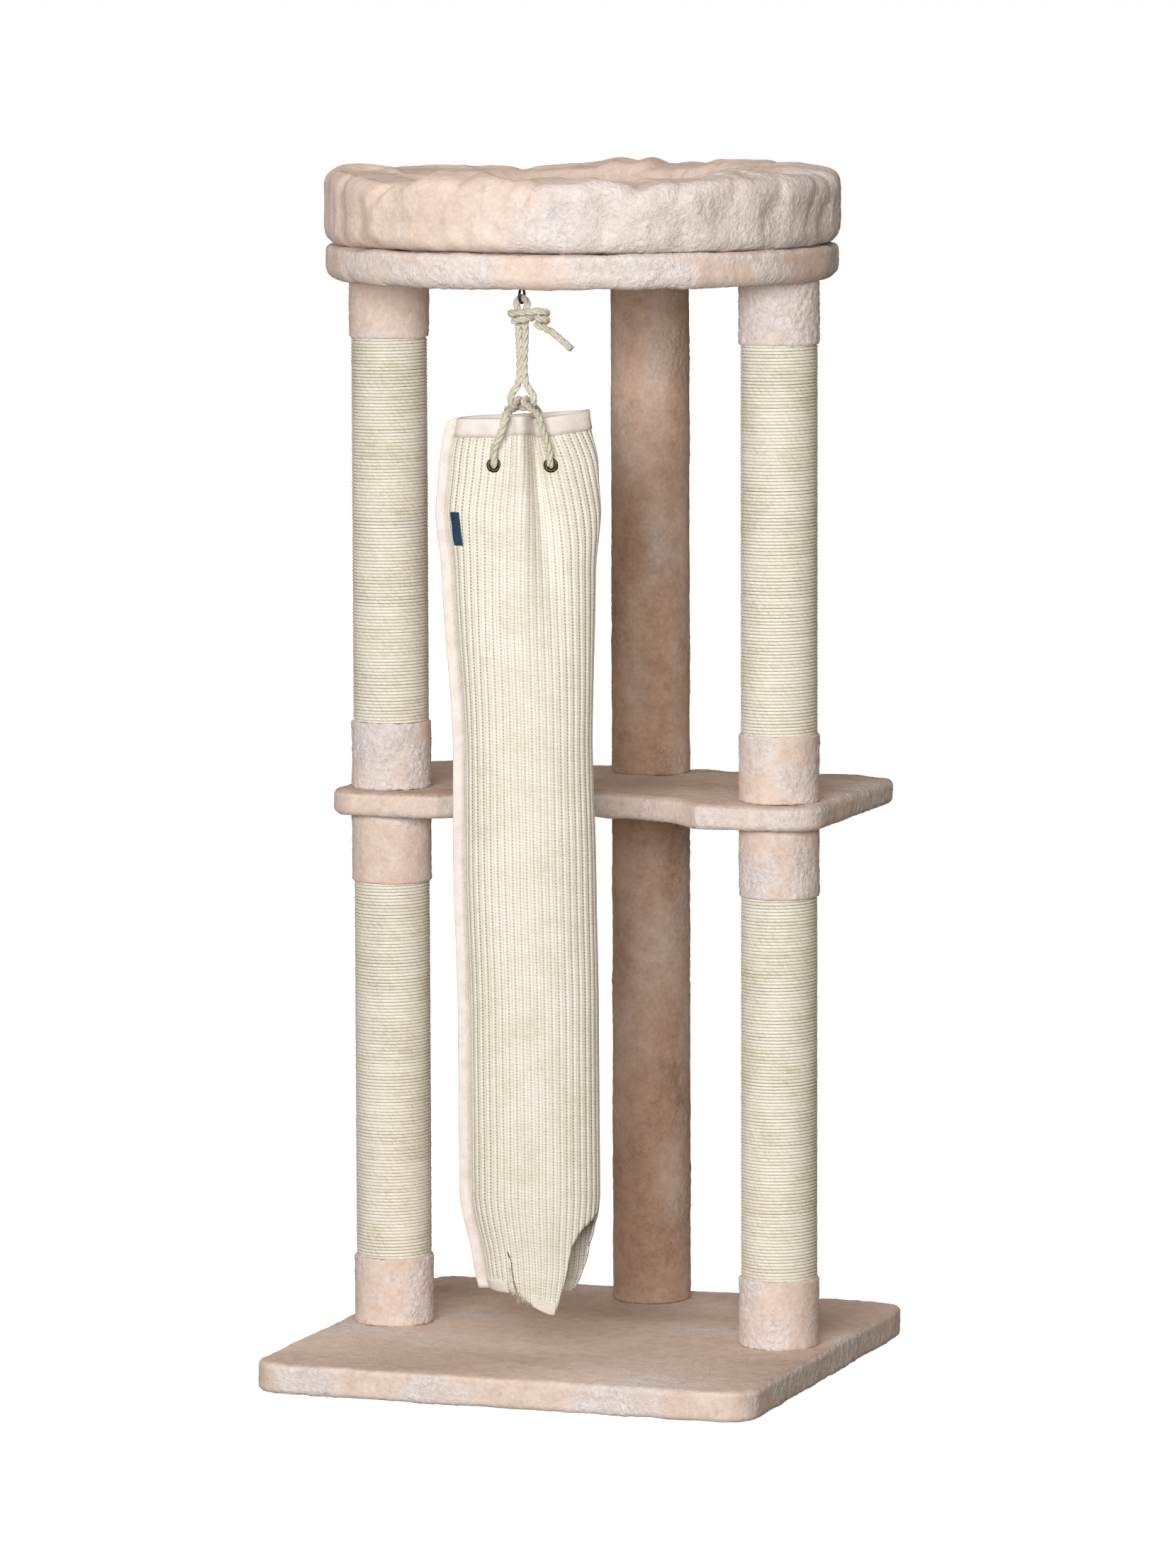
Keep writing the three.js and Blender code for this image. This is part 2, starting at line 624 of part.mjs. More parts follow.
// A point of the sleeve's middle surface in plan. The angle runs round from the right edge by the front.
function sleevePlan(angle, z) {
  const [left, right, depth] = station(z);
  const x = (left + right) / 2 + Math.cos(angle) * (right - left) / 2;
  const rise = Math.sign(Math.sin(angle)) * Math.abs(Math.sin(angle)) ** 0.85;
  const fade = THREE.MathUtils.clamp(1 - (SLEEVE_TOP - z) / FOLD_LENGTH, 0, 1);
  const fold = rise > 0 ? fade * FOLDS.reduce((sum, [place, width, deep]) =>
    sum + deep * Math.exp(-(((x - place) / width) ** 2)), 0) : 0;
  return new THREE.Vector2(x, -rise * depth - fold);
}

function sleevePoint(angle, z, outwards) {
  const here = sleevePlan(angle, z);
  const along = sleevePlan(angle + 0.02, z).sub(sleevePlan(angle - 0.02, z)).normalize();
  return at(here.x - along.y * outwards, here.y + along.x * outwards, z);
}

const topEdge = (angle) => SLEEVE_TOP + 5 * Math.max(0, Math.cos(angle));
function bottomEdge(angle) {
  const fromRight = Math.abs(Math.atan2(Math.sin(angle), Math.cos(angle)));
  const vent = Math.max(0, 1 - fromRight / VENT_ANGLE);
  const tongue = Math.sin(angle) > 0 ? 10 * Math.sin(2 * fromRight) ** 2 * (fromRight < Math.PI / 2) : 0;
  return SLEEVE_BOTTOM + VENT_HEIGHT * vent ** 0.8 + 16 * (1 - Math.cos(fromRight)) / 2 - tongue;
}

const SLEEVE_AROUND = 28;
const angles = [...Array(SLEEVE_AROUND).keys()].map((i) => (i / SLEEVE_AROUND) * 2 * Math.PI);

// Heights at which the sleeve is shaped, from its bottom edge to its top edge.
function levelsAt(angle) {
  const low = bottomEdge(angle) + BOTTOM_HEM;
  const high = topEdge(angle) - TOP_HEM;
  const shares = [0, 0.1, 0.38, 0.62, 0.8, 0.89, 1]; // closer together where it flares
  return [
    bottomEdge(angle),
    ...shares.map((share) => THREE.MathUtils.lerp(low, high, share)),
    topEdge(angle),
  ];
}

// The cloth as a tube of one thickness, open at both ends, with a margin on every face if wanted.
function sleeveCloth(margin = 0) {
  const half = CLOTH / 2 + margin;
  return skin(angles.map((angle) => {
    const levels = levelsAt(angle);
    levels[0] -= margin;
    levels[levels.length - 1] += margin;
    const line = (outwards, list) => list.map((z) => sleevePoint(angle, z, outwards));
    return [...line(half, levels), ...line(-half, levels.reverse())];
  }), true);
}

// Tape over an edge of the cloth all the way round, before the cloth is cut out of it.
// Its direction is 1 at the top, -1 at the bottom.
function hem(edge, height, direction) {
  const half = CLOTH / 2 + GAP + TAPE;
  const section = [[half, -height], [half, GAP + TAPE], [-half, GAP + TAPE], [-half, -height]];
  return skin(angles.map((angle) => section.map(([outwards, up]) =>
    sleevePoint(angle, edge(angle) + direction * up, outwards))), true);
}

// The seam down the left edge, bound with the same tape: a flat strip that stands out from the tube.
function sideSeam() {
  const half = CLOTH / 2 + GAP + TAPE;
  const levels = levelsAt(Math.PI);
  levels[0] -= GAP + TAPE;
  levels[levels.length - 1] += GAP + TAPE;
  return skin(levels.map((z) => {
    const x = sleevePlan(Math.PI, z).x - CLOTH / 2;
    return [at(x, -half, z), at(x, half, z), at(x - SIDE_HEM, half, z), at(x - SIDE_HEM, -half, z)];
  }), false);
}

// The places of the four eyelets: each on the cloth, with the direction straight out of it.
const EYELETS = { front_left: [-1, 1], front_right: [1, 1], back_left: [-1, -1], back_right: [1, -1] };
function eyeletPlace([across, front]) {
  const z = SLEEVE_TOP - EYELET_DROP;
  const wanted = across * EYELET_SPACING / 2;
  const steps = 720;
  const best = [...Array(steps).keys()].map((i) => (i + 0.5) / steps * Math.PI * front).reduce((a, b) =>
    (Math.abs(sleevePlan(b, z).x - wanted) < Math.abs(sleevePlan(a, z).x - wanted) ? b : a));
  const inside = sleevePoint(best, z, -1);
  const point = sleevePoint(best, z, 0);
  return { point, out: point.clone().sub(inside).normalize() };
}

const eyeletBore = ROPE / 2 + ROPE_ROOM;
const eyeletBarrel = eyeletBore + 1.2;
function eyelet() {
  const half = CLOTH / 2 + GAP;
  const rim = half + EYELET_FLANGE;
  const r = EYELET_WIDTH / 2;
  return turned([
    [eyeletBore, -rim],
    [r, -half],
    [eyeletBarrel, -half],
    [eyeletBarrel, half],
    [r, half],
    [eyeletBore, rim],
  ], 12);
}

const sleeve = new THREE.Group();
sleeve.rotation.z = SLEEVE_TURN;
hanging.add(sleeve);

const places = Object.entries(EYELETS).map(([name, where]) => ({ name, ...eyeletPlace(where) }));
// The cloth is pressed flat under both flanges of an eyelet.
const eyeletSeat = ({ point, out }) => [
  rod(eyeletBarrel + GAP, -4, 4),
  rod(EYELET_WIDTH / 2 + GAP, CLOTH / 2, CLOTH / 2 + 4),
  rod(EYELET_WIDTH / 2 + GAP, -CLOTH / 2 - 4, -CLOTH / 2),
].map((tool) => tool
  .applyQuaternion(new THREE.Quaternion().setFromUnitVectors(upright, out))
  .translate(point.x, point.y, point.z));
add(sleeve, 'sleeve_cloth', cut(sleeveCloth(), places.flatMap(eyeletSeat)), cotton);
add(sleeve, 'sleeve_binding', cut(join([
  hem(topEdge, TOP_HEM, 1), hem(bottomEdge, BOTTOM_HEM, -1), sideSeam(),
]), [sleeveCloth(GAP)]), tape);
for (const { name, point, out } of places) {
  const made = add(sleeve, `eyelet_${name}`, eyelet(), bronze, point.toArray());
  made.quaternion.setFromUnitVectors(upright, out);
}

// A blank tab lies on the front of the cloth, beside the seam.
function tab() {
  const angle = Math.PI * 0.9;
  const top = SLEEVE_TOP - TAB_DROP;
  const near = CLOTH / 2;
  const spread = TAB_WIDTH / 2 / (SLEEVE_STATIONS[2][2] - SLEEVE_STATIONS[2][1]);
  return skin([0, 0.5, 1].map((t) => {
    const z = top - TAB_HEIGHT * t;
    const far = near + GAP + TAB_THICK;
    return [[-spread, near], [-spread, far], [spread, far], [spread, near]]
      .map(([turn, outwards]) => sleevePoint(angle + 4 * turn, z, outwards));
  }), false);
}
add(sleeve, 'blank_tab', cut(tab(), [sleeveCloth(GAP)]), blueTape);

// On each side a ring of rope runs over the bend of the strands, down in front, through both eyelets
// and up behind. Its two ends meet inside the sleeve.
function bridle(side) {
  const across = side === 'left' ? -1 : 1;
  const turn = (vector) => vector.applyAxisAngle(upright, SLEEVE_TURN);
  const clear = CLOTH / 2 + GAP + EYELET_FLANGE + ROPE / 2 + GAP; // middle of the rope before an eyelet
  const overHem = SLEEVE_TOP + ROPE;
  const overLink = ROPE + 2 * GAP;
  const leg = (face, facing) => {
    const { point, out } = places.find(({ name }) => name === `${face}_${side}`);
    const beside = (outwards, up) => turn(point.clone().addScaledVector(out, outwards).setZ(point.z + up));
    const slant = overLink * Math.SQRT1_2;
    return [
      at(across * strand, facing * slant, linkHeight + slant),
      turn(at(across * 10, facing * 20, overHem + 2)),
      turn(at(across * 15, facing * 31, overHem - 0.5)),
      turn(at(across * 18.5, facing * 38.5, overHem - 6)),
      turn(at(across * 24, facing * 38.5, overHem - 24)),
      beside(clear + 3, 17),
      beside(clear + 1.2, 7),
      beside(clear - 0.6, 2.2),
      beside(clear - 3.4, 0.2),
      beside(0, 0),
      beside(-6, 0),
    ];
  };
  const [fore, aft] = [leg('front', -1), leg('back', 1)];
  const [foreEnd, aftEnd] = [fore.at(-1), aft.at(-1)];
  const meet = (share) => foreEnd.clone().lerp(aftEnd, share);
  return rope([
    meet(0.49),
    ...fore.reverse(),
    at(across * strand, 0, linkHeight + overLink),
    ...aft,
    meet(0.51),
  ], 36);
}
add(hanging, 'rope_bridle_left', bridle('left'), sisal);
add(hanging, 'rope_bridle_right', bridle('right'), sisal);

export default part;
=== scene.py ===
"""The looks of a cat tree: plush boards and posts wound with sisal, a round bed, and a ribbed cloth
sleeve that hangs on a rope. Sizes below are in millimetres; meshes and the scene are in metres."""
import itertools
from math import cos, pi, radians, sin, sqrt, tau

import bpy
import numpy as np
from mathutils import Matrix, Vector
from mathutils.kdtree import KDTree


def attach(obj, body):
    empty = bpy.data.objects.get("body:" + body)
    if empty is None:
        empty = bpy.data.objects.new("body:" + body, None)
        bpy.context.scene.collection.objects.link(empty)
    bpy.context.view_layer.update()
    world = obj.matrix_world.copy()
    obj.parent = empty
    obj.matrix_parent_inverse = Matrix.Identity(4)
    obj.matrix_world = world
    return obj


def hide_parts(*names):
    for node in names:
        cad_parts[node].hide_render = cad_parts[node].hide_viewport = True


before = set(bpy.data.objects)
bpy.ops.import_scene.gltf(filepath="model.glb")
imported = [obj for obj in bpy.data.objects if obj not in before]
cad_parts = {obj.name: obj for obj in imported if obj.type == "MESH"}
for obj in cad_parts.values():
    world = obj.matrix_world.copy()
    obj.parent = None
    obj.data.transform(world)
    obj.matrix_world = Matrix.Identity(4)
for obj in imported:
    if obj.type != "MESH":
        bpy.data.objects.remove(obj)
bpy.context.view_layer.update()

MM = 0.001

# ---- sizes of the built tree ----
BASE_HALF, BASE_CORNER, BASE_TOP, BASE_FOLD = 305, 38, 36, 48
PLUSH_THICK = 3.7
EDGE_ROUND = 6
LOWER_FOOT, LOWER_LENGTH = 36.3, 610
UPPER_FOOT, UPPER_LENGTH = 676.9, 603
POSTS = {"left": (-241, 0), "right": (241, 0), "back": (0, 241)}
COLLARS = {"lower": (80, 81), "upper": (78, 72)}
COLLAR_INNER, COLLAR_OUTER = 40.36, 46.36
WINDING_INNER, WINDING_THICK, WINDING_PITCH = 41.9, 2.9, 3.85
SHELF_UNDER, SHELF_TOP = 646.6, 676.6
SHELF_HALF, SHELF_FRONT, SHELF_BACK, SHELF_CORNER = 302, -66, 285, 44
BAY_RADIUS, BAY_DEPTH = 203, 78
PERCH_UNDER, PERCH_TOP, PERCH_RADIUS = 1280.2, 1320.2, 298
BED_FOOT, BOLSTER_RADIUS, BOLSTER_WIDTH = 1320.5, 302, 106
HANG = np.array([0.0, -205.0, 0.0])  # the sleeve hangs below this point of the perch
ROPE = 8
STRAND_APART = 4.3
WRAP = 12.6
EYE_CENTRE, EYE_RING, WIRE_RADIUS = 1269.7, 8.5, 1.5
LINK_HEIGHT = 1143.0
SLEEVE_TURN = radians(20)
SLEEVE_TOP, SLEEVE_BOTTOM = 1132, 106
CLOTH, TAPE, FIT = 3.5, 1.2, 0.3
TAPE_FACE = CLOTH / 2 + FIT + TAPE  # from the middle of the cloth
TOP_TAPE, NARROW_TAPE = 20, 13  # how much shows at the top, and at the foot and the seam
EYELET_HEIGHT, EYELET_ACROSS, EYELET_HOLE = SLEEVE_TOP - 54, 32.5, 6.2


# ---- colours and materials ----
def paint(hex_colour):
    """An sRGB hex colour as linear red, green, blue and 1."""
    parts = [int(hex_colour[i:i + 2], 16) / 255 for i in (1, 3, 5)]
    return tuple(c / 12.92 if c <= 0.04045 else ((c + 0.055) / 1.055) ** 2.4 for c in parts) + (1.0,)


def fill(tree, node, inputs):
    """Sets a node's inputs, each to a value or to another node's output."""
    for name, value in inputs.items():
        if isinstance(value, bpy.types.NodeSocket):
            tree.links.new(value, node.inputs[name])
        else:
            node.inputs[name].default_value = value


def add(tree, kind, inputs, stops=None, **settings):
    """Adds a node with its inputs and settings."""
    made = tree.nodes.new("ShaderNode" + kind)
    for name, value in settings.items():
        setattr(made, name, value)
    fill(tree, made, inputs)
    if stops:
        ramp = made.color_ramp.elements
        while len(ramp) < len(stops):
            ramp.new(0.5)
        for element, (place, colour) in zip(ramp, stops):
            element.position = place
            element.color = paint(colour)
    return made


def object_place(tree):
    return add(tree, "TexCoord", {}).outputs["Object"]


def attribute(tree, name):
    """A mesh attribute's three numbers, together and one by one."""
    whole = add(tree, "Attribute", {}, attribute_name=name).outputs["Vector"]
    return whole, *add(tree, "SeparateXYZ", {"Vector": whole}).outputs


def maths(tree, operation, *values):
    return add(tree, "Math", dict(enumerate(values)), operation=operation).outputs[0]


def wave(tree, operation, value, length):
    """The sine or cosine of a value that comes round again after a length."""
    return maths(tree, operation, maths(tree, "MULTIPLY", value, tau / length))


def shares(tree, *parts):
    """The sum of several values, each times its share."""
    total = 0.0
    for value, share in parts:
        total = maths(tree, "MULTIPLY_ADD", value, share, total)
    return total


def noise(tree, place, scale, detail, roughness=0.5, distortion=0.0):
    return add(tree, "TexNoise", {"Vector": place, "Scale": scale, "Detail": detail, "Roughness": roughness,
                                  "Distortion": distortion}).outputs[0]


def scaled(tree, place, scale):
    return add(tree, "Mapping", {"Vector": place, "Scale": scale}).outputs[0]


def ranged(tree, value, low=0.0, high=1.0, first=0.0, last=1.0):
    """A value between first and last, carried to between low and high."""
    return add(tree, "MapRange", {"Value": value, "From Min": first, "From Max": last, "To Min": low,
                                  "To Max": high}).outputs[0]


def ramp(tree, value, *stops):
    return add(tree, "ValToRGB", {"Fac": value}, stops).outputs[0]


def mix(tree, share, one, other):
    return add(tree, "Mix", {0: share, 6: one, 7: other}, data_type="RGBA").outputs[2]


def relief(tree, *layers):
    """Bumps on bumps: the height, strength and depth in metres of each, and whether it is sunk."""
    normal = {}
    for height, strength, depth, *sunk in layers:
        made = add(tree, "Bump", {"Height": height, "Strength": strength, "Distance": depth, **normal},
                   invert=bool(sunk))
        normal = {"Normal": made.outputs[0]}
    return made.outputs[0]


def new_finish(name):
    """A new material and its node tree."""
    finish = bpy.data.materials.new(name)
    finish.use_nodes = True
    return finish, finish.node_tree


def shaded(finish, **inputs):
    """The material, with the inputs of its shader filled."""
    tree = finish.node_tree
    fill(tree, tree.nodes["Principled BSDF"], {k.replace("_", " "): v for k, v in inputs.items()})
    return finish


def brushed_plush(name, lying, standing, painted_shade):
    """Knitted polyester plush, its pile sheared to 3 mm. Where the pile lies flat it is smooth and a
    deeper peach; where it stands it is paler, pinker and tufted; where painted shade is put on it is brown.
    The mesh's nap attribute says how much it stands and how much painted shade it takes, from 0 to 1."""
    finish, tree = new_finish(name)
    place = object_place(tree)
    _, stands, painted_shade_share, _ = attribute(tree, "nap")
    blots = noise(tree, place, 60, 4, 0.6)
    tufts = noise(tree, place, 190, 4, 0.62, 0.4)
    fibres = noise(tree, place, 900, 3, 0.7)
    shade = shares(tree, (blots, 0.45), (tufts, 0.4), (fibres, 0.15))
    tones = [ramp(tree, shade, *zip((0.33, 0.5, 0.67), colours)) for colours in (lying, standing, painted_shade)]
    # the third tones are brown painted shade, mixed in by the nap attribute's second number
    colour = mix(tree, painted_shade_share, mix(tree, stands, *tones[:2]), tones[2])
    bumps = relief(tree, (tufts, ranged(tree, stands, 0.3, 0.95), 0.004), (fibres, 0.5, 0.0012))
    return shaded(finish, Base_Color=colour, Normal=bumps, Roughness=1.0, Specular_IOR_Level=0.08,
                  Sheen_Weight=0.2, Sheen_Roughness=0.5, Sheen_Tint=paint("#F8ECE8"))


def sisal_cord(name, dark, middle, light, twist):
    """Sisal spun from bleached agave fibre. Each cord shows its twist as slanted strands, straw
    streaks a few millimetres long, and a dull fibrous shine. It reads the mesh's lay attribute:
    millimetres along the cord, share of the way round it, and the cord's own number."""
    finish, tree = new_finish(name)
    lay, along, around, number = attribute(tree, "lay")
    slant = maths(tree, "MULTIPLY_ADD", along, 1 / twist, around)
    streak_place = add(tree, "CombineXYZ", {"X": along, "Y": slant, "Z": number}).outputs[0]
    streaks = noise(tree, scaled(tree, streak_place, (0.09, 3.2, 1.7)), 1, 4, 0.65)
    slow = noise(tree, scaled(tree, lay, (0.012, 0.4, 0.9)), 1, 3)
    patches = noise(tree, object_place(tree), 22, 3)
    shade = shares(tree, (streaks, 0.5), (slow, 0.25), (patches, 0.25))
    bumps = relief(tree, (wave(tree, "SINE", slant, 1), 0.35, 0.0003), (streaks, 0.5, 0.0005))
    return shaded(finish, Base_Color=ramp(tree, shade, (0.36, dark), (0.5, middle), (0.62, light)),
                  Normal=bumps, Roughness=0.85, Specular_IOR_Level=0.2)


def ribbed_cloth(dots=3.8, wefts=1.9):
    """Heavy cotton and sisal cloth woven in ribs 8 mm apart. Between two ribs the binding threads
    show as a row of dots, each rib is parted by a finer row, and fine weft threads cross them. The
    grooves and the dots in them are darkened with painted shade, more where the grooves open. The
    mesh's weave attribute is the rib's number, the height in mm, and how open the grooves are, from 0
    where the cloth is stretched flat to 1 where it turns."""
    finish, tree = new_finish("ribbed_cotton_sisal_cloth")
    weave, rib, height, opened = attribute(tree, "weave")
    groove = wave(tree, "COSINE", rib, 1)  # 1 in a groove, -1 on a rib
    stagger = maths(tree, "MULTIPLY", maths(tree, "ROUND", rib), 0.37)
    dot = wave(tree, "SINE", maths(tree, "MULTIPLY_ADD", height, 1 / dots, stagger), 1)
    # painted shade in the grooves, stronger where the grooves open at the sides
    deep = maths(tree, "MULTIPLY", ranged(tree, groove, 0, 1, 0.74, 0.97), ranged(tree, opened, 0.45))
    lines = maths(tree, "MAXIMUM", deep, ranged(tree, groove, 0, 0.5, -0.93, -1.0))
    # the dots along the grooves and the finer rows: painted shade in the colour, and sunk in the bump
    pits_and_painted_shade = maths(tree, "MULTIPLY", lines, ranged(tree, dot, 0, 1, -0.3, 0.6))
    threads = noise(tree, scaled(tree, weave, (5, 0.12, 1)), 1, 4, 0.7)
    picks = noise(tree, scaled(tree, weave, (0.35, 0.9, 1)), 1, 3, 0.7)
    patches = noise(tree, object_place(tree), 30, 3)
    shade = shares(tree, (threads, 0.4), (picks, 0.3), (patches, 0.3))
    face = ramp(tree, shade, (0.36, "#DFD9C6"), (0.5, "#F0ECE0"), (0.63, "#F8F5EE"))
    # DAD2BB is painted groove shade, #8B7E62 painted shade in the dots
    colour = mix(tree, pits_and_painted_shade, mix(tree, deep, face, paint("#DAD2BB")), paint("#8B7E62"))
    bumps = relief(tree, (wave(tree, "SINE", height, wefts), 0.4, 0.0004), (pits_and_painted_shade, 0.9, 0.0008, "sunk"),
                   (picks, 0.5, 0.0008))
    return shaded(finish, Base_Color=colour, Normal=bumps, Roughness=0.9, Specular_IOR_Level=0.2,
                  Sheen_Weight=0.1)


def woven(name, dark, light, thread, roughness=0.85):
    """Close plain weave of spun threads: a fine even check, painted paler on the crowns as painted highlight
    and darker between them as painted shade.
    """
    finish, tree = new_finish(name)
    place = object_place(tree)
    bands = {"Vector": place, "Scale": 1 / (thread * MM) / 6.3, "Distortion": 0.6, "Detail": 1}
    check = maths(tree, "MULTIPLY", *[add(tree, "TexWave", bands, bands_direction=way).outputs["Fac"]
                                      for way in "ZX"])
    # the check paints the thread crowns paler and the gaps darker: painted highlight and painted shade
    shade = maths(tree, "MULTIPLY_ADD", check, 0.35, noise(tree, place, 60, 4, 0.6))
    return shaded(finish, Base_Color=ramp(tree, shade, (0.4, dark), (0.75, light)),
                  Normal=relief(tree, (check, 0.4, 0.0002)), Roughness=roughness,
                  Specular_IOR_Level=0.25, Sheen_Weight=0.15)


def worn_metal(name, dark, light, roughness):
    """Plated or blued metal, brighter and darker in random spots, with fine scratches."""
    finish, tree = new_finish(name)
    spots = noise(tree, object_place(tree), 420, 5, 0.65)
    return shaded(finish, Base_Color=ramp(tree, spots, (0.4, dark), (0.65, light)), Metallic=1.0,
                  Roughness=ranged(tree, spots, roughness - 0.1, roughness + 0.2),
                  Normal=relief(tree, (spots, 0.15, 0.0002)))


def pressed_board(name, dark, light, stretch):
    """Pressed wood fibre or wound brown paper: dull, with short fibres and darker flecks."""
    finish, tree = new_finish(name)
    fibres = noise(tree, scaled(tree, object_place(tree), stretch), 260, 6, 0.7)
    return shaded(finish, Base_Color=ramp(tree, fibres, (0.35, dark), (0.65, light)), Roughness=0.85,
                  Normal=relief(tree, (fibres, 0.3, 0.0003)))


# the brown third tones are painted shade, put on the back post and the tops of the base and shelf
PLUSH = brushed_plush("beige_plush", ("#D2B9A8", "#E4D0C3", "#EFE0D7"), ("#D9CDC7", "#EBE1DD", "#F7F2F0"),
                      ("#A4856F", "#BD9D87", "#CFB3A0"))
WOUND_SISAL = sisal_cord("wound_sisal", "#D2CCB2", "#ECE8DB", "#F5F3EA", 9)
LAID_ROPE = sisal_cord("three_strand_rope", "#B9B49D", "#D1CCBA", "#E2DDD0", 5)
RIBBED = ribbed_cloth()
BINDING = woven("cotton_binding_tape", "#DED3CA", "#F0E9E3", 0.8)
THREAD = woven("sewing_thread", "#CFC2AE", "#EDE5D5", 0.5)
BLUE = woven("blue_woven_tape", "#152C45", "#244560", 0.5, 0.8)
BRONZE = worn_metal("antique_bronze", "#2B251D", "#655843", 0.4)
DARK_STEEL = worn_metal("blued_steel", "#3A3836", "#6B6864", 0.38)
ZINC = worn_metal("zinc_plated_steel", "#9A9C9E", "#C8CACC", 0.35)
FIBREBOARD = pressed_board("raw_fibreboard", "#9C7D56", "#C4A57C", (1, 1, 1))
PAPER = pressed_board("brown_paper_tube", "#8C6F4C", "#B29370", (1, 1, 0.3))


# ---- chance, in the same order each run ----
def drift(points, size, seed):
    """Smooth chance heights from -1 to 1, with hills about size apart."""
    place = points / size + seed * 7.31
    low = np.floor(place).astype(np.int64)
    share = place - low
    share = share * share * (3 - 2 * share)
    total = np.zeros(len(points))
    for corner in itertools.product((0, 1), repeat=3):
        cell = low + corner
        mixed = cell[:, 0] * 73856093 ^ cell[:, 1] * 19349663 ^ cell[:, 2] * 83492791 ^ seed * 40503
        mixed = ((mixed ^ mixed >> 13) & 0xFFFFFF) * 1274126177
        height = ((mixed ^ mixed >> 15) & 0xFFFF) / 32767.5 - 1
        total += height * np.prod(np.where(corner, share, 1 - share), axis=1)
    return total


# ---- meshes ----
def put(name, data):
    """A new object in the scene."""
    made = bpy.data.objects.new(name, data)
    bpy.context.collection.objects.link(made)
    return made


def put_mesh(name, points, faces, scale=MM):
    mesh = bpy.data.meshes.new(name)
    mesh.from_pydata((np.asarray(points) * scale).tolist(), [], [list(map(int, f)) for f in faces])
    return put(name, mesh)


def piece(name, points, faces, finish, body, nodes):
    """A new piece from points in millimetres, which rides on a body and stands for CAD nodes."""
    made = put_mesh(name, points, faces)
    made.data.polygons.foreach_set("use_smooth", [True] * len(made.data.polygons))
    made.data.materials.append(finish)
    made.data.update()
    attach(made, body)
    if nodes:
        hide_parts(*nodes)
    return made


def mark(thing, name, values):
    """Keeps three numbers a point on the mesh, for its material."""
    layer = thing.data.attributes.new(name, "FLOAT_VECTOR", "POINT")
    layer.data.foreach_set("vector", np.asarray(values, np.float32).ravel())


def spread(x, y, z):
    """A list of points from three coordinates, each of them a number, a row or a grid."""
    return np.stack(np.broadcast_arrays(x, y, z), -1).reshape(-1, 3)


def quads(rows, columns, loop_rows=False, loop_columns=False, start=0):
    """The faces of a grid of points."""
    i = np.arange(rows if loop_rows else rows - 1)[:, None]
    j = np.arange(columns if loop_columns else columns - 1)[None, :]
    next_i, next_j = (i + 1) % rows, (j + 1) % columns
    faces = np.stack([i * columns + j, i * columns + next_j, next_i * columns + next_j,
                      next_i * columns + j], axis=-1)
    return faces.reshape(-1, 4) + start


def tube(rows, columns, start=0, turned=False):
    """The faces of a tube of points and of its two ends."""
    first = list(range(start, start + columns))
    faces = quads(rows, columns, loop_columns=True, start=start).tolist()
    faces += [first[::-1], [v + (rows - 1) * columns for v in first]]
    return [face[::-1] for face in faces] if turned else faces


def evaluated(thing):
    """The mesh that a thing's modifiers make of it, and its points."""
    mesh = thing.evaluated_get(bpy.context.evaluated_depsgraph_get()).data
    points = np.empty(len(mesh.vertices) * 3)
    mesh.vertices.foreach_get("co", points)
    return mesh, points.reshape(-1, 3)


def circle(side, up, count):
    """Directions all the way round, square to an axis, at each point of it."""
    a = np.arange(count)[:, None] / count * tau
    return side[:, None] * np.cos(a) + up[:, None] * np.sin(a)


def steps_of(line):
    return np.linalg.norm(np.diff(line, axis=0), axis=1)


def so_far(steps):
    """How far along each point is, from the steps between the points."""
    return np.concatenate([[0], np.cumsum(steps)])


def unit(ways):
    """Directions with a length of 1."""
    return ways / np.linalg.norm(ways, axis=-1, keepdims=True)


def hump(away, width):
    """A smooth bump, 1 at its middle, that has nearly faded two widths away."""
    return np.exp(-(away / width) ** 2)


def outward(points, faces):
    """The direction straight out of the surface at each point."""
    a, b, c, d = (points[faces[:, k]] for k in range(4))
    across = np.cross(c - a, d - b)
    total = np.zeros_like(points)
    for k in range(4):
        for axis in range(3):
            total[:, axis] += np.bincount(faces[:, k], across[:, axis], len(points))
    return total / np.maximum(np.linalg.norm(total, axis=1, keepdims=True), 1e-9)


def pile(points, faces, seed, nap, lump=0.5):
    """Lifts the points into tufts of pile on soft lumps of backing. Standing pile lifts more."""
    lift = lump * (drift(points, 24, seed) + 0.5 * drift(points, 10, seed + 1))
    lift += 0.5 * (0.5 + nap) * (drift(points, 5, seed + 2) + 0.6 * drift(points, 2.7, seed + 3))
    return points + outward(points, faces) * lift[:, None]


def brushed(points, seed, share, size, along=(1, 1, 1)):
    """Where the pile stands, from 0 to 1: hands leave it in drifts. Share is how much of it stands."""
    at = drift(points / along, size, seed) + 0.5 * drift(points / along, size * 0.36, seed + 1)
    return np.clip(0.5 + 1.4 * (at + share - 0.5), 0, 1)


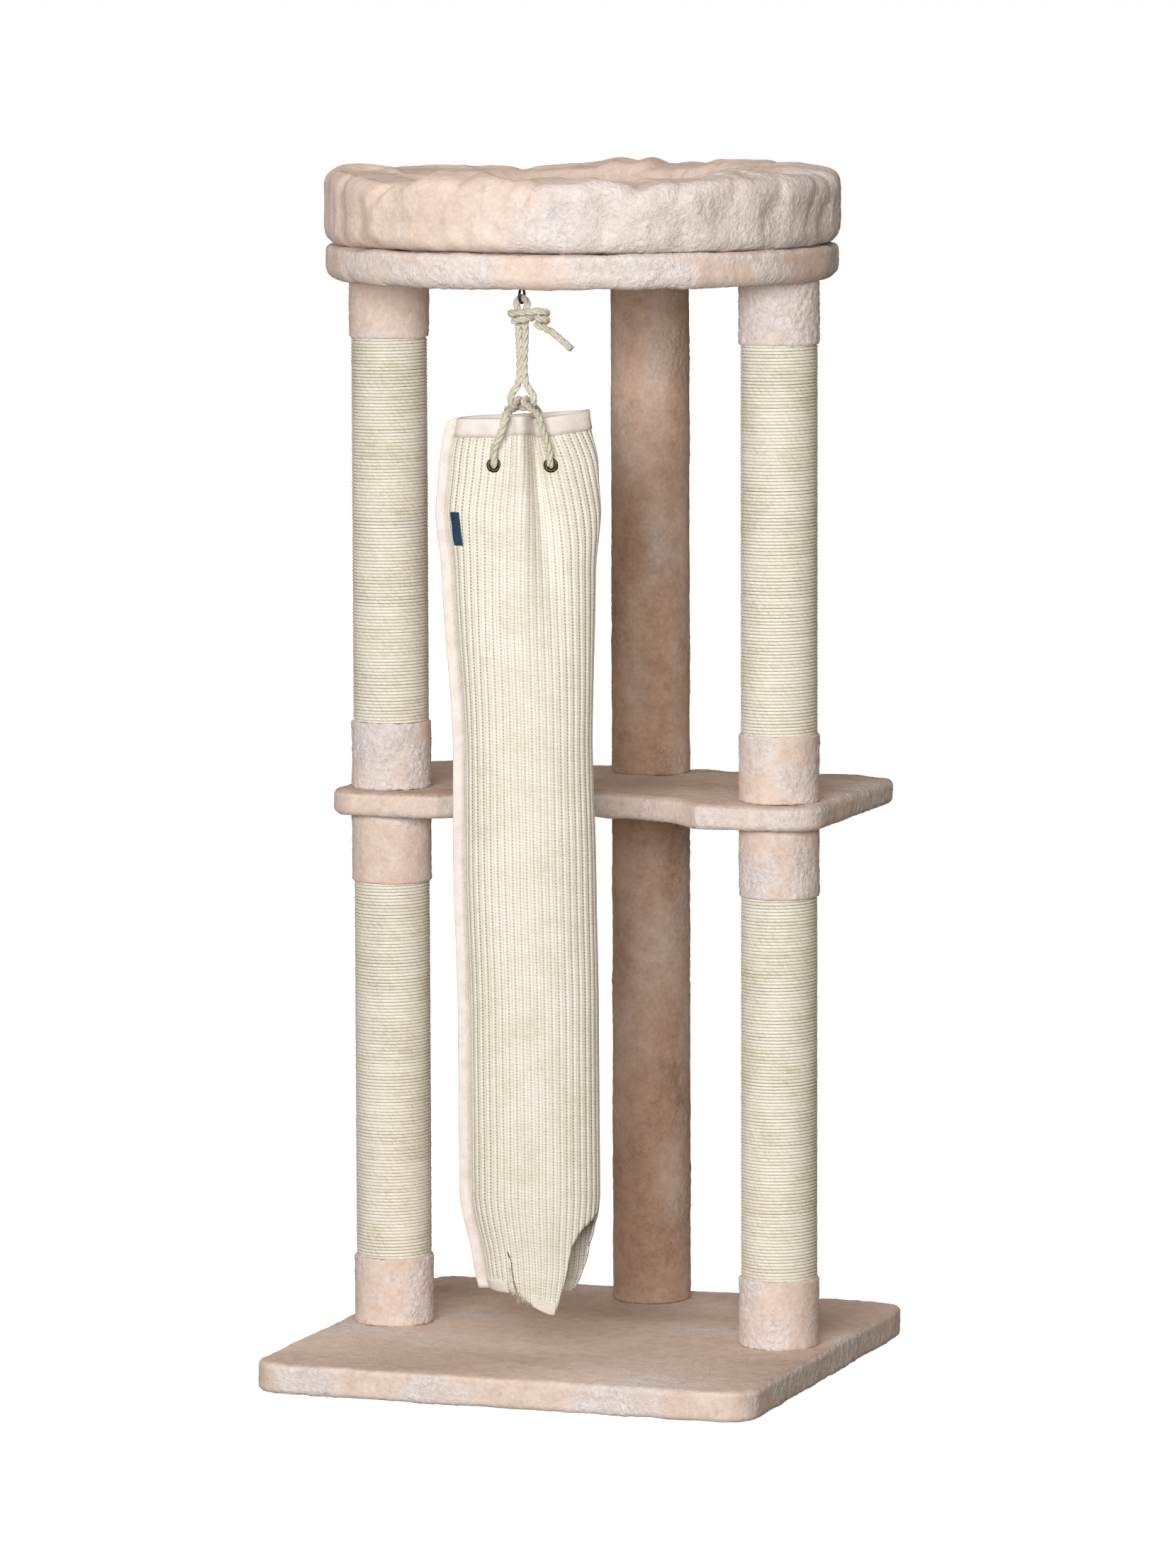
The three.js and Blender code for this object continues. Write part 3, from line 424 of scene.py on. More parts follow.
def plush_piece(name, points, faces, nap, body, node, painted_shade, hairs, seed, caps=()):
    """A plush cover from quads, with single tufts of pile that lean out of it as hairs."""
    chance = np.random.default_rng(seed)
    corners = points[faces]
    area = np.linalg.norm(np.cross(corners[:, 2] - corners[:, 0], corners[:, 3] - corners[:, 1]), axis=1)
    picked = chance.choice(len(faces), hairs, p=area / area.sum())
    root = faces[picked, 0]
    out = outward(points, faces)[root]
    lean, droop, thick, stations = 0.55, -0.25, 0.55, 3
    ways = out + chance.normal(0, lean, (hairs, 3)) + (0, 0, droop)
    sunk = corners[picked].mean(1) - out * 0.4
    hair, hair_faces = stray_fibres(sunk, ways, chance.uniform(2.0, 3.6, hairs), thick, len(points), seed,
                                    stations)
    hair[:, 2] = np.maximum(hair[:, 2], 0.2)  # none goes through the floor
    painted_shade = np.broadcast_to(painted_shade, nap.shape)
    all_faces = faces.tolist() + [list(c) for c in caps] + hair_faces
    made = piece(name, np.vstack([points, hair]), all_faces, PLUSH, body, [node])
    each = stations * 3  # points in a hair
    # the nap attribute: how much the pile stands, and how much painted shade it takes; hairs take less
    # painted shade
    mark(made, "nap", spread(np.concatenate([nap, np.repeat(np.clip(nap[root] + 0.25, 0, 1), each)]),
                             np.concatenate([painted_shade, np.repeat(painted_shade[root] * 0.7, each)]), 0))
    return made


def smooth_line(points, spacing):
    """Even points along the smooth line that the CAD rope follows (centripetal Catmull-Rom)."""
    p = np.asarray(points, float)
    p = np.vstack([2 * p[0] - p[1], p, 2 * p[-1] - p[-2]])
    t = np.linspace(0, 1, 24, endpoint=False)[:, None]
    line = []
    for a, b, c, d in zip(p, p[1:], p[2:], p[3:]):
        before, here, after = (max(np.linalg.norm(v), 1e-4) ** 0.5 for v in (b - a, c - b, d - c))
        start = ((b - a) / before - (c - a) / (before + here) + (c - b) / here) * here
        end = ((c - b) / here - (d - b) / (here + after) + (d - c) / after) * here
        line.append(b + start * t + (3 * (c - b) - 2 * start - end) * t ** 2
                    + (2 * (b - c) + start + end) * t ** 3)
    return evenly(np.vstack(line + [p[-2:-1]]), spacing)


def evenly(line, spacing):
    done = so_far(steps_of(line))
    want = np.linspace(0, done[-1], max(int(done[-1] / spacing), 3) + 1)
    return np.stack([np.interp(want, done, line[:, k]) for k in range(3)], axis=1)


def frames(line):
    """Two directions square to the line at each point, carried along it without twist."""
    ahead = unit(np.gradient(line, axis=0))
    side = np.zeros_like(line)
    side[0] = unit(np.cross(ahead[0], (0.3, 0.9, 0.1)))
    for i in range(1, len(line)):
        side[i] = unit(side[i - 1] - ahead[i] * (side[i - 1] @ ahead[i]))
    return side, np.cross(ahead, side)


def stray_fibres(roots, ways, lengths, thick, start, seed, stations=5):
    """Loose fibres, each a thin closed tapering hair. Returns their points and faces."""
    chance = np.random.default_rng(seed)
    count = len(roots)
    ways = unit(ways)
    bend = np.clip(chance.normal(0, 0.3, (count, 3)), -0.5, 0.5)
    side = unit(np.cross(ways, bend + (0.1, 0.2, 0.3)))
    up = np.cross(ways, side)
    t = np.linspace(0, 1, stations)
    middle = (roots[:, None] + ways[:, None] * (lengths[:, None] * t)[..., None]
              + bend[:, None] * (lengths[:, None] * t ** 2)[..., None])
    radius = thick / 2 * (1 - 0.7 * t)
    points = middle[:, :, None] + circle(side, up, 3)[:, None] * radius[:, None, None]
    each = stations * 3
    first = start + np.arange(count)[:, None, None] * each
    faces = (quads(stations, 3, loop_columns=True)[None] + first).reshape(-1, 4).tolist()
    ends = np.array([[2, 1, 0], [each - 3, each - 2, each - 1]])
    faces += (ends[None] + first).reshape(-1, 3).tolist()
    return points.reshape(-1, 3), faces


# ---- camera, fitted to the base, the posts and the perch ----
camera = put("camera", bpy.data.cameras.new("camera"))
camera.data.lens = 179.0
camera.data.sensor_width = 36.0
camera.data.clip_end = 60
camera.matrix_world = (Matrix.Translation((3.0437, -8.5515, 1.7282))
                       @ Matrix.Rotation(radians(19.56), 4, "Z")
                       @ Matrix.Rotation(radians(83.459), 4, "X")
                       @ Matrix.Rotation(radians(-0.1655), 4, "Z"))
bpy.context.scene.camera = camera


# ---- the sleeve's form, which the rope and the cloth share ----
# from the top: each station's height, its left and right edge, and half its depth
STATIONS = np.array([
    (1134, -71.5, 74, 25), (1080, -80, 85, 27), (1022, -85, 88, 31), (955, -78, 82, 38),
    (760, -66, 77.5, 45), (612, -66.5, 81.5, 44), (453, -62, 84, 43), (233, -61, 85, 42),
    (150, -45, 75, 35), (96, -32, 60, 28)])
# each fold: where it is at the hem, its width, its depth, how it leans and widens, and its length
FOLDS = ((-3, 7, 11, 0.02, 0.05, 330), (11.5, 5, -24, 0.1, 0.06, 300), (44, 13, 3, 0.15, 0.05, 300),
         (-27, 11, -5, -0.05, 0.04, 260))
# the hem's height by the angle from the right edge, in front and behind
TOP_HEM = ((0, 48, 71, 80, 87, 97, 109, 140, 180),
           (1138.5, 1134.5, 1130.5, 1129, 1133.5, 1133, 1129.5, 1129.5, 1129))
TOP_BACK_HEM = ((0, 90, 180), (1138.5, 1132, 1129))
FRONT_HEM = ((0, 14, 41, 52, 57, 60, 63, 67, 74, 86, 98, 112, 127, 180),
             (217, 212, 196, 178, 154, 122, 104, 98, 98.5, 103, 109, 118, 124, 126))
BACK_HEM = ((0, 15, 29, 36, 45, 70, 180), (217, 180, 139, 117, 118, 119, 126))


def station(z):
    heights = STATIONS[:, 0]
    upper = np.clip((heights[:, None] > z[None]).sum(0), 1, len(heights) - 1)
    low, high = STATIONS[upper], STATIONS[upper - 1]
    t = np.clip((z - low[:, 0]) / (high[:, 0] - low[:, 0]), 0, 1)
    eased = t ** 3 * (t * (6 * t - 15) + 10)
    share = (0.35 * eased + 0.65 * t)[:, None]
    return (low + (high - low) * share)[:, 1:].T


def sleeve_plan(angle, z):
    """The sleeve's middle surface seen from above. The angle runs from its right edge by the front."""
    left, right, depth = station(z)
    x = (left + right) / 2 + np.cos(angle) * (right - left) / 2
    rise = np.sign(np.sin(angle)) * np.abs(np.sin(angle)) ** 0.85
    down = np.maximum(SLEEVE_TOP - z, 0)
    fold = sum(deep * hump(x - at - lean * down, width + widens * down)
               * np.clip(1 - down / length, 0, 1) ** 1.3
               for at, width, deep, lean, widens, length in FOLDS)
    return x, -rise * depth - np.where(rise > 0, fold, 0)


def sleeve_point(angle, z, out):
    angle, z, out = (np.broadcast_to(v, np.broadcast_shapes(*map(np.shape, (angle, z, out))))
                     .astype(float).ravel() for v in (angle, z, out))
    x, y = sleeve_plan(angle, z)
    ahead = np.array(sleeve_plan(angle + 0.02, z)) - np.array(sleeve_plan(angle - 0.02, z))
    ahead /= np.linalg.norm(ahead, axis=0)
    return spread(x - ahead[1] * out, y + ahead[0] * out, z)


def hem(angle, front, back):
    from_right = np.degrees(np.abs(np.arctan2(np.sin(angle), np.cos(angle))))
    return np.where(np.sin(angle) >= 0, np.interp(from_right, *front), np.interp(from_right, *back))


def top_edge(angle):
    return hem(angle, TOP_HEM, TOP_BACK_HEM)


def bottom_edge(angle):
    """The hem's height: a vent up the right edge, a tongue in front of it, a lower flap behind."""
    return hem(angle, FRONT_HEM, BACK_HEM)


def hung(points):
    """From the sleeve's own plan to its place, turned under the perch."""
    c, s = cos(SLEEVE_TURN), sin(SLEEVE_TURN)
    x, y, z = np.asarray(points, float).reshape(-1, 3).T
    return spread(x * c - y * s, x * s + y * c, z) + HANG


def hung_way(way):
    """A direction in the sleeve's own plan, turned with it."""
    return hung(way)[0] - HANG


def eyelet_place(across, front):
    """Where an eyelet sits on the cloth, and the direction straight out of it."""
    turns = (np.arange(720) + 0.5) / 720 * pi * front
    x, _ = sleeve_plan(turns, np.full(720, float(EYELET_HEIGHT)))
    best = turns[np.argmin(abs(x - across * EYELET_ACROSS))]
    inside, point = sleeve_point(best, EYELET_HEIGHT, [-1, 0])
    return point, point - inside


EYELETS = {f"{face}_{side}": eyelet_place(across, front)
           for face, front in (("front", 1), ("back", -1)) for side, across in (("left", -1), ("right", 1))}


# ---- rope: three strands laid together, 8 mm thick ----
LAY_LENGTH = 32
STRAND_RADIUS, STRAND_OFFSET = 2.25, 2.0


def laid_rope(name, line, body, node, seed, fibres):
    side, up = frames(line)
    done = so_far(steps_of(line))
    around = 12
    phi = np.arange(around) / around * tau
    points, faces, lay = [], [], []
    for strand in range(3):
        turn = tau * (done / LAY_LENGTH + strand / 3)
        wobble = 1 + 0.06 * drift(spread(done, 0, strand), 7, seed)
        middle = line + (side * np.cos(turn)[:, None] + up * np.sin(turn)[:, None]) * STRAND_OFFSET
        yarn = 1 + 0.05 * np.cos(5 * phi[None] - tau * done[:, None] / 9)
        radius = STRAND_RADIUS * wobble[:, None] * yarn
        points.append((middle[:, None] + circle(side, up, around) * radius[..., None]).reshape(-1, 3))
        faces += tube(len(line), around, strand * len(line) * around)
        lay.append(spread(done[:, None], phi / tau, strand))
    points, lay = np.vstack(points), np.vstack(lay)
    chance = np.random.default_rng(seed)
    pick = chance.integers(2, len(line) - 2, fibres)
    where = chance.uniform(0, tau, fibres)
    out = side[pick] * np.cos(where)[:, None] + up[pick] * np.sin(where)[:, None]
    ways = out * 0.35 + (line[pick + 1] - line[pick - 1]) * chance.choice([-1, 1], fibres)[:, None]
    hair, hair_faces = stray_fibres(line[pick] + out * 3, ways, chance.uniform(2, 4.2, fibres), 0.3,
                                    len(points), seed)
    made = piece(name, np.vstack([points, hair]), faces + hair_faces, LAID_ROPE, body, [node])
    mark(made, "lay", np.vstack([lay, np.tile((0.0, 0.5, 9.0), (len(hair), 1))]))


def mirrored(points):
    return points + [(-x, y, z) for x, y, z in reversed(points) if x]


def helix(centre, radius, start, turns, z0, z1, steps):
    share = np.arange(steps + 1) / steps
    a = start + share * turns * tau
    z = z0 + share * (z1 - z0)
    return spread(centre[0] + np.cos(a) * radius, centre[1] + np.sin(a) * radius, z).tolist()


FORWARD = -pi / 2
ROPE_STEP = 1.3
eye_loop = smooth_line(mirrored([
    (-4.3, 0, 1237), (-4.3, 0, 1249), (-6.1, 0, 1256.2), (-6.1, 0, 1261.2), (-4.31, 0, 1265.5),
    (0, 0, 1267.3)]), ROPE_STEP) + HANG
laid_rope("laid_eye_loop", eye_loop, "rope_loop", "rope_eye_loop", seed=11, fibres=8)
lashing = smooth_line(
    helix((0, 0), WRAP, FORWARD - 1.1 * tau, 1.1, 1241.6, 1251.06, 12)
    + [(13.5, -12.6, 1252)]
    + helix((27, -7.16), 5.44, FORWARD, 2, 1253, 1235.8, 16)
    + [(39, -13.6, 1230.8), (52, -15.6, 1221.8), (66, -16.6, 1210.8)], ROPE_STEP) + HANG
laid_rope("laid_lashing_and_knot", lashing, "rope_loop", "rope_lashing", seed=12,
          fibres=26)
strands = smooth_line(mirrored([
    (-4.3, 0, 1236.7), (-4.3, 0, 1171), (-12, 0, 1158), (-14, 0, 1151), (-11.6, 0, 1144.8),
    (-9, 0, 1143)]), ROPE_STEP) + HANG
laid_rope("laid_strands", strands, "rope_fall", "rope_strands", seed=13, fibres=26)


def bridle_line(side):
    across = -1 if side == "left" else 1
    c, s = cos(SLEEVE_TURN), sin(SLEEVE_TURN)
    turn = lambda p: (p[0] * c - p[1] * s, p[0] * s + p[1] * c, p[2])
    clear, over_hem, over_link = 7.35, SLEEVE_TOP + ROPE, 8.6
    slant = over_link * sqrt(0.5)

    def leg(face, facing):
        point, out = EYELETS[f"{face}_{side}"]
        beside = lambda away, up: turn((point[0] + out[0] * away, point[1] + out[1] * away, point[2] + up))
        return [
            (across * STRAND_APART, facing * slant, LINK_HEIGHT + slant),
            turn((across * 10, facing * 20, over_hem + 2)),
            turn((across * 15, facing * 31, over_hem - 0.5)),
            turn((across * 18.5, facing * 38.5, over_hem - 6)),
            turn((across * 24, facing * 38.5, over_hem - 24)),
            beside(clear + 3, 17), beside(clear + 1.2, 7), beside(clear - 0.6, 2.2),
            beside(clear - 3.4, 0.2), beside(0, 0), beside(-6, 0)]

    fore, aft = leg("front", -1), leg("back", 1)
    first, last = np.array(fore[-1]), np.array(aft[-1])
    return smooth_line([tuple(first + (last - first) * 0.49), *reversed(fore),
                        (across * STRAND_APART, 0, LINK_HEIGHT + over_link), *aft,
                        tuple(first + (last - first) * 0.51)], ROPE_STEP) + HANG


for side, seed in (("left", 14), ("right", 15)):
    laid_rope(f"laid_bridle_{side}", bridle_line(side), "sleeve", f"rope_bridle_{side}", seed,
              fibres=24)


# ---- plush on boards ----
def square_plan(half, corner, count):
    """A grid of points over a square with round corners, or over a disc where corner is half."""
    s = np.linspace(-1, 1, count)
    x, y = np.meshgrid(s, s)
    large, small = np.maximum(abs(x), abs(y)), np.minimum(abs(x), abs(y))
    ratio = small / np.maximum(large, 1e-9)
    round_part = corner / half
    c = 1 - round_part
    a, b = 1 + ratio ** 2, 2 * c * (1 + ratio)
    reach = (b + np.sqrt(np.maximum(b * b - 4 * a * (2 * c * c - round_part ** 2), 0))) / (2 * a)
    k = np.where(ratio > c, np.minimum(reach, 1), 1)
    return np.stack([x * k, y * k], axis=-1) * half


def shelf_plan(inset):
    """A grid of points over the shelf, whose front edge is hollow between its posts."""
    columns, corner_columns, rows = 210, 14, 120
    corner = SHELF_CORNER - inset
    flat = SHELF_HALF - inset - corner
    phi = np.linspace(-pi / 2, 0, corner_columns, endpoint=False)
    edge = -flat + corner * np.sin(phi)
    x = np.concatenate([edge, np.linspace(-flat, flat, columns), -edge[::-1]])
    reach = np.clip(abs(x) - flat, 0, corner)
    drop = corner - np.sqrt(np.maximum(corner ** 2 - reach ** 2, 0))
    bay = BAY_RADIUS + inset
    hollow = SHELF_FRONT + BAY_DEPTH - BAY_RADIUS + np.sqrt(np.maximum(bay ** 2 - x ** 2, 0))
    front = np.where(abs(x) < bay, np.maximum(SHELF_FRONT + inset + drop, hollow),
                     SHELF_FRONT + inset + drop)
    back = SHELF_BACK - inset - drop
    v = np.linspace(0, 1, rows)[:, None]
    return np.stack([np.broadcast_to(x, (rows, len(x))), front + (back - front) * v], axis=-1)


def rim_of(rows, columns):
    """The grid's outer points, in order, as rows and columns."""
    front = [(0, j) for j in range(columns)]
    right = [(i, columns - 1) for i in range(1, rows)]
    back = [(rows - 1, j) for j in range(columns - 2, -1, -1)]
    left = [(i, 0) for i in range(rows - 2, 0, -1)]
    return np.array(front + right + back + left)


def rounded_edge(z0, z1, radius, foot_radius, step=2.6):
    """Insets and heights down a rounded edge, from the top face to the underside."""
    bends = [np.linspace(0, pi / 2, max(int(r * 1.57 / step) + 1, 4))[1:] for r in (radius, foot_radius)]
    straight = z1 - z0 - radius - foot_radius
    upper = [(radius * (1 - sin(a)), z1 - radius * (1 - cos(a))) for a in bends[0]]
    wall = np.linspace(z1 - radius, z0 + foot_radius, max(int(straight / step), 1) + 1)
    lower = [(foot_radius * (1 - sin(a)), z0 + foot_radius * (1 - cos(a))) for a in bends[1][::-1]]
    return upper + [(0, z) for z in wall[1:-1]] + lower


def plush_slab(name, plan, z0, z1, radius, node, seed, share, top_painted_shade, hairs, foot_radius=None,
               open_fold=None, edge_lump=0.8):
    """Plush stretched over a board: a dense skin over its top, edges and underside, or with an open
    fold glued under the board as a border."""
    foot_radius = foot_radius or radius
    top = plan(radius)
    rows, columns = top.shape[:2]
    i, j = rim_of(rows, columns).T
    count = len(i)
    flat = lambda grid, z: spread(grid[..., 0], grid[..., 1], z)
    points = [flat(top, z1)]
    faces = [quads(rows, columns)]
    ring = i * columns + j
    size = rows * columns
    edge = rounded_edge(z0, z1, radius, foot_radius)
    if open_fold:
        edge += [(inset, z0) for inset in np.linspace(radius, open_fold, 12)]
        edge += [(open_fold, z0 + PLUSH_THICK), (PLUSH_THICK, z0 + PLUSH_THICK),
                 (PLUSH_THICK, z1 - PLUSH_THICK)]
    else:
        edge += [(foot_radius, z0)]
    for inset, z in edge:
        points.append(flat(plan(inset)[i, j], z))
        below = size + np.arange(count)
        size += count
        faces.append(np.stack([ring, below, np.roll(below, -1), np.roll(ring, -1)], axis=1))
        ring = below
    if not open_fold:
        points.append(flat(plan(foot_radius), z0))
        joined = np.arange(size + rows * columns)
        joined[size + i * columns + j] = ring
        faces.append(joined[quads(rows, columns, start=size)[:, ::-1]])
    points, faces = np.vstack(points), np.vstack(faces)
    used, back_to = np.unique(faces, return_inverse=True)
    points, faces = points[used], back_to.reshape(-1, 4)
    lies_up = outward(points, faces)[:, 2] > 0.7
    streaks = brushed(points, seed + 8, share, 60, (3, 1, 1))
    nap = np.where(lies_up, streaks, brushed(points, seed + 9, max(share, 0.55), 70))
    # painted shade on the board's upward faces, in long drifts; edges and undersides take none
    painted_shade = np.where(lies_up, np.clip(top_painted_shade + 0.5 * drift(points / (2.5, 1, 1), 80, seed + 6), 0, 1), 0)
    shown = pile(points, faces, seed, nap)
    shown += outward(points, faces) * (edge_lump * drift(points, 31, seed + 5))[:, None]
    caps = [range(len(points) - count, len(points))] if open_fold else []
    return plush_piece(name, shown, faces, nap, "stand", node, painted_shade, hairs, seed, caps)


# the base and shelf tops take brown painted shade, the perch none
plush_slab("base_plush", lambda t: square_plan(BASE_HALF - t, max(BASE_CORNER - t, 6), 225),
           0.4, BASE_TOP, EDGE_ROUND, "base_cover", seed=21, share=0.15, top_painted_shade=0.25, hairs=2600,
           open_fold=BASE_FOLD)
plush_slab("shelf_plush", shelf_plan, SHELF_UNDER, SHELF_TOP, 8, "shelf_cover", seed=31, share=0.3,
           top_painted_shade=0.5, hairs=2600, foot_radius=9, edge_lump=1.2)
plush_slab("perch_plush", lambda t: square_plan(PERCH_RADIUS - t, PERCH_RADIUS - t, 165),
           PERCH_UNDER, PERCH_TOP, 7, "perch_cover", seed=41, share=0.75, top_painted_shade=0, hairs=4000,
           foot_radius=16, edge_lump=1.6)


# ---- plush round the posts ----
def plush_round(name, x, y, z0, z1, node, seed, share, painted_shade=0.0):
    """Plush wrapped once round a tube and glued, with its pile standing over both cut edges and a
    closed seam at the back."""
    around, step, roll = 150, 2.4, 2.2
    curl = [(COLLAR_OUTER - roll * (1 - sin(a)), roll * (1 - cos(a))) for a in (0.5, 1.05, 1.57)]
    rows = [(COLLAR_INNER, z0), (COLLAR_OUTER - roll, z0)] + [(r, z0 + up) for r, up in curl]
    rows += [(COLLAR_OUTER, z) for z in np.linspace(z0 + roll, z1 - roll, int((z1 - z0) / step))[1:-1]]
    rows += [(r, z1 - up) for r, up in curl[::-1]] + [(COLLAR_OUTER - roll, z1), (COLLAR_INNER, z1)]
    turn = np.arange(around) / around * tau
    r, z = np.array(rows).T[..., None]
    points = spread(x + r * np.cos(turn), y + r * np.sin(turn), z)
    faces = quads(len(rows), around, loop_rows=True, loop_columns=True)
    out = outward(points, faces)
    nap = brushed(points, seed + 5, share, 55)
    lift = 0.5 + 0.6 * drift(points, 26, seed)
    lift += (0.3 + 0.5 * nap) * (drift(points, 5, seed + 1) + 0.6 * drift(points, 2.7, seed + 4))
    seam = np.abs((np.tile(turn, len(rows)) - 2.0 + pi) % tau - pi) * COLLAR_OUTER
    lift -= 1.1 * hump(seam, 1.8)
    lift *= np.repeat(r[:, 0] > COLLAR_INNER + 1, around)
    points = points + out * lift[:, None]
    ends = hump(np.minimum(points[:, 2] - z0, z1 - points[:, 2]), 2.5)
    points[:, 2] += 0.5 * ends * drift(points, 5, seed + 2)
    # painted shade in tall drifts, for a wrap that asks for it (the back post)
    deep = np.clip(painted_shade + 0.35 * drift(points / (1, 1, 3), 30, seed + 7), 0, 1) if painted_shade else 0
    return plush_piece(name, points, faces, nap, "stand", node, deep, 900, seed)


# ---- sisal wound on the posts ----
def sisal_run(name, x, y, foot, height, node, seed):
    """One cord wound from collar to collar. Each turn lies a little unevenly on the last."""
    per_turn, across, wander, gap = 72, 9, 0.12, 0.06
    turns = height / WINDING_PITCH + 1
    t = np.arange(1, int(turns * per_turn)) / per_turn
    line = spread(t * 6.1, 0, seed)
    angle = t * tau
    low = np.maximum(0, WINDING_PITCH * (t - 1) + wander * drift(line, 9, seed))
    high = np.minimum(height, WINDING_PITCH * t + wander * drift(line, 9, seed + 1) - gap)
    high = np.maximum(high, low + 0.05)
    full = np.clip((high - low) / WINDING_PITCH, 0, 1)
    thick = WINDING_THICK * full * (1 + 0.09 * drift(line * (3, 1, 1), 8, seed + 2))
    phi = np.linspace(0, pi, across)
    z = foot + (low + high)[:, None] / 2 - (high - low)[:, None] / 2 * np.cos(phi)
    along = angle * (WINDING_INNER + 1.5)
    twist = 0.16 * np.sin(along[:, None] * tau / 9 + phi * 2)
    r = WINDING_INNER + (thick[:, None] + twist * full[:, None]) * np.sin(phi) ** 0.62
    points = spread(x + r * np.cos(angle)[:, None], y + r * np.sin(angle)[:, None], z)
    lay = spread(along[:, None], phi / tau, np.floor(t)[:, None] * 0.37)
    chance = np.random.default_rng(seed)
    count = 260
    where, up = chance.uniform(0, tau, count), chance.uniform(3, height - 3, count)
    out = spread(np.cos(where), np.sin(where), 0)
    roots = out * (WINDING_INNER + WINDING_THICK - 0.3) + spread(x, y, foot + up)
    round_way = spread(-out[:, 1], out[:, 0], chance.normal(0, 0.25, count))
    ways = round_way * chance.choice([-1, 1], count)[:, None] + out * chance.uniform(0.1, 0.7, count)[:, None]
    hair, hair_faces = stray_fibres(roots, ways, chance.uniform(3, 9, count), 0.3, len(points), seed)
    made = piece(name, np.vstack([points, hair]), tube(len(t), across, turned=True) + hair_faces, WOUND_SISAL,
                 "stand", [node])
    mark(made, "lay", np.vstack([lay, np.tile((0.0, 0.3, 5.0), (len(hair), 1))]))


for level, foot, length in (("lower", LOWER_FOOT, LOWER_LENGTH), ("upper", UPPER_FOOT, UPPER_LENGTH)):
    low_collar, high_collar = COLLARS[level]
    for number, (side, (x, y)) in enumerate(POSTS.items()):
        name, seed = f"{level}_{side}", 50 + 10 * number + (level == "upper") * 40
        if side == "back":
            # the back post is painted brown all down its length, as painted shade
            plush_round(f"{name}_wrap", x, y, foot, foot + length, f"{name}_plush_sleeve", seed,
                        share=0.1, painted_shade=0.8)
            continue
        plush_round(f"{name}_low_wrap", x, y, foot, foot + low_collar, f"{name}_low_collar", seed,
                    share=0.45)
        plush_round(f"{name}_high_wrap", x, y, foot + length - high_collar, foot + length,
                    f"{name}_high_collar", seed + 3, share=0.5)
        sisal_run(f"{name}_cord", x, y, foot + low_collar + 0.3, length - low_collar - high_collar - 0.6,
                  f"{name}_sisal", seed + 6)


# ---- bed ----
def stuffed(points, faces, pinned, slack, pressure, frames_run):
    """Blows a cover up with stuffing: cloth simulation with its seams pinned, and the cloth cut bigger
    than its form by slack. Returns how far each point moved."""
    trial = put_mesh("trial", points, faces)
    group = trial.vertex_groups.new(name="seams")
    group.add(np.flatnonzero(pinned).tolist(), 1.0, "REPLACE")
    cloth = trial.modifiers.new("cloth", "CLOTH")
    made = cloth.settings
    made.quality = 4
    made.mass = 0.2
    made.tension_stiffness = made.compression_stiffness = 12
    made.shear_stiffness = 6
    made.bending_stiffness = 0.6
    made.use_pressure = True
    made.uniform_pressure_force = pressure
    made.shrink_min = -slack
    made.effector_weights.gravity = 0
    made.vertex_group_mass = "seams"
    cloth.collision_settings.use_collision = False
    for number in range(1, frames_run + 1):
        bpy.context.scene.frame_set(number)
    _, moved = evaluated(trial)
    bpy.context.scene.frame_set(1)
    bpy.data.objects.remove(trial)
    return moved / MM - points


def softened(steps, rounds):
    """Steps on a closed grid of points, smoothed with their neighbours as thick stuffing does."""
    for _ in range(rounds):
        for axis in (0, 1):
            steps = steps * 0.5 + (np.roll(steps, 1, axis) + np.roll(steps, -1, axis)) * 0.25
    return steps


def finer(points, faces):
    """One Catmull-Clark subdivision."""
    trial = put_mesh("trial", points, faces, 1)
    trial.modifiers.new("finer", "SUBSURF").levels = 1
    made, new_points = evaluated(trial)
    corners = np.empty(len(made.loops), np.int32)
    made.loops.foreach_get("vertex_index", corners)
    bpy.data.objects.remove(trial)
    return new_points, corners.reshape(-1, 4)


CAMERA_SIDE = radians(-70.44)  # the way to the camera, seen from above


def apart(turn, place):
    """Angle from a place on the ring, in degrees, from -180 to 180."""
    return np.degrees((turn - place + pi) % tau - pi)


RIM_HEIGHT = 1400
PANEL_SEAMS = (-14, 76, 166, -104)  # degrees from the camera's side
# how far the bed's rim is above RIM_HEIGHT, by the angle from the camera's side
RIM = ((-180, 4.4), (-175, 3.3), (-166, -0.7), (-156, 3), (-145, 3.1), (-134, 5.3), (-116, 1.3), (-90, 9.4),
       (-70, 8.2), (-48, 3), (-38, 10.2), (-28, 9.1), (-19, 2.5), (-3, 4.8), (3, 5.8), (13, 1.7), (24, 6.3),
       (41, 7), (52, 8.3), (66, 5), (75, 6), (88, 11.4), (100, 8), (112, 4.1), (128, 10.2), (145, 9.4),
       (152, 7.6), (157.5, 3), (159.5, 9), (171, 7.5), (180, 4.4))


# creases that run over the rim: the angle from the camera's side, width in degrees, depth
FOLDS_IN_RIM = ((-71, 2.2, 3), (-53, 1.8, 5), (-47, 2.0, 3), (-33, 1.6, 3), (-21, 1.6, 4), (-15, 1.4, 4),
                (9, 2, 3), (19, 1.6, 3.5), (33, 1.4, 2), (47, 1.8, 3), (62, 2, 4), (71, 1.6, 5), (93, 2, 5),
                (118, 3, 4), (143, 3, 3), (-100, 3, 4), (-128, 3, 3))


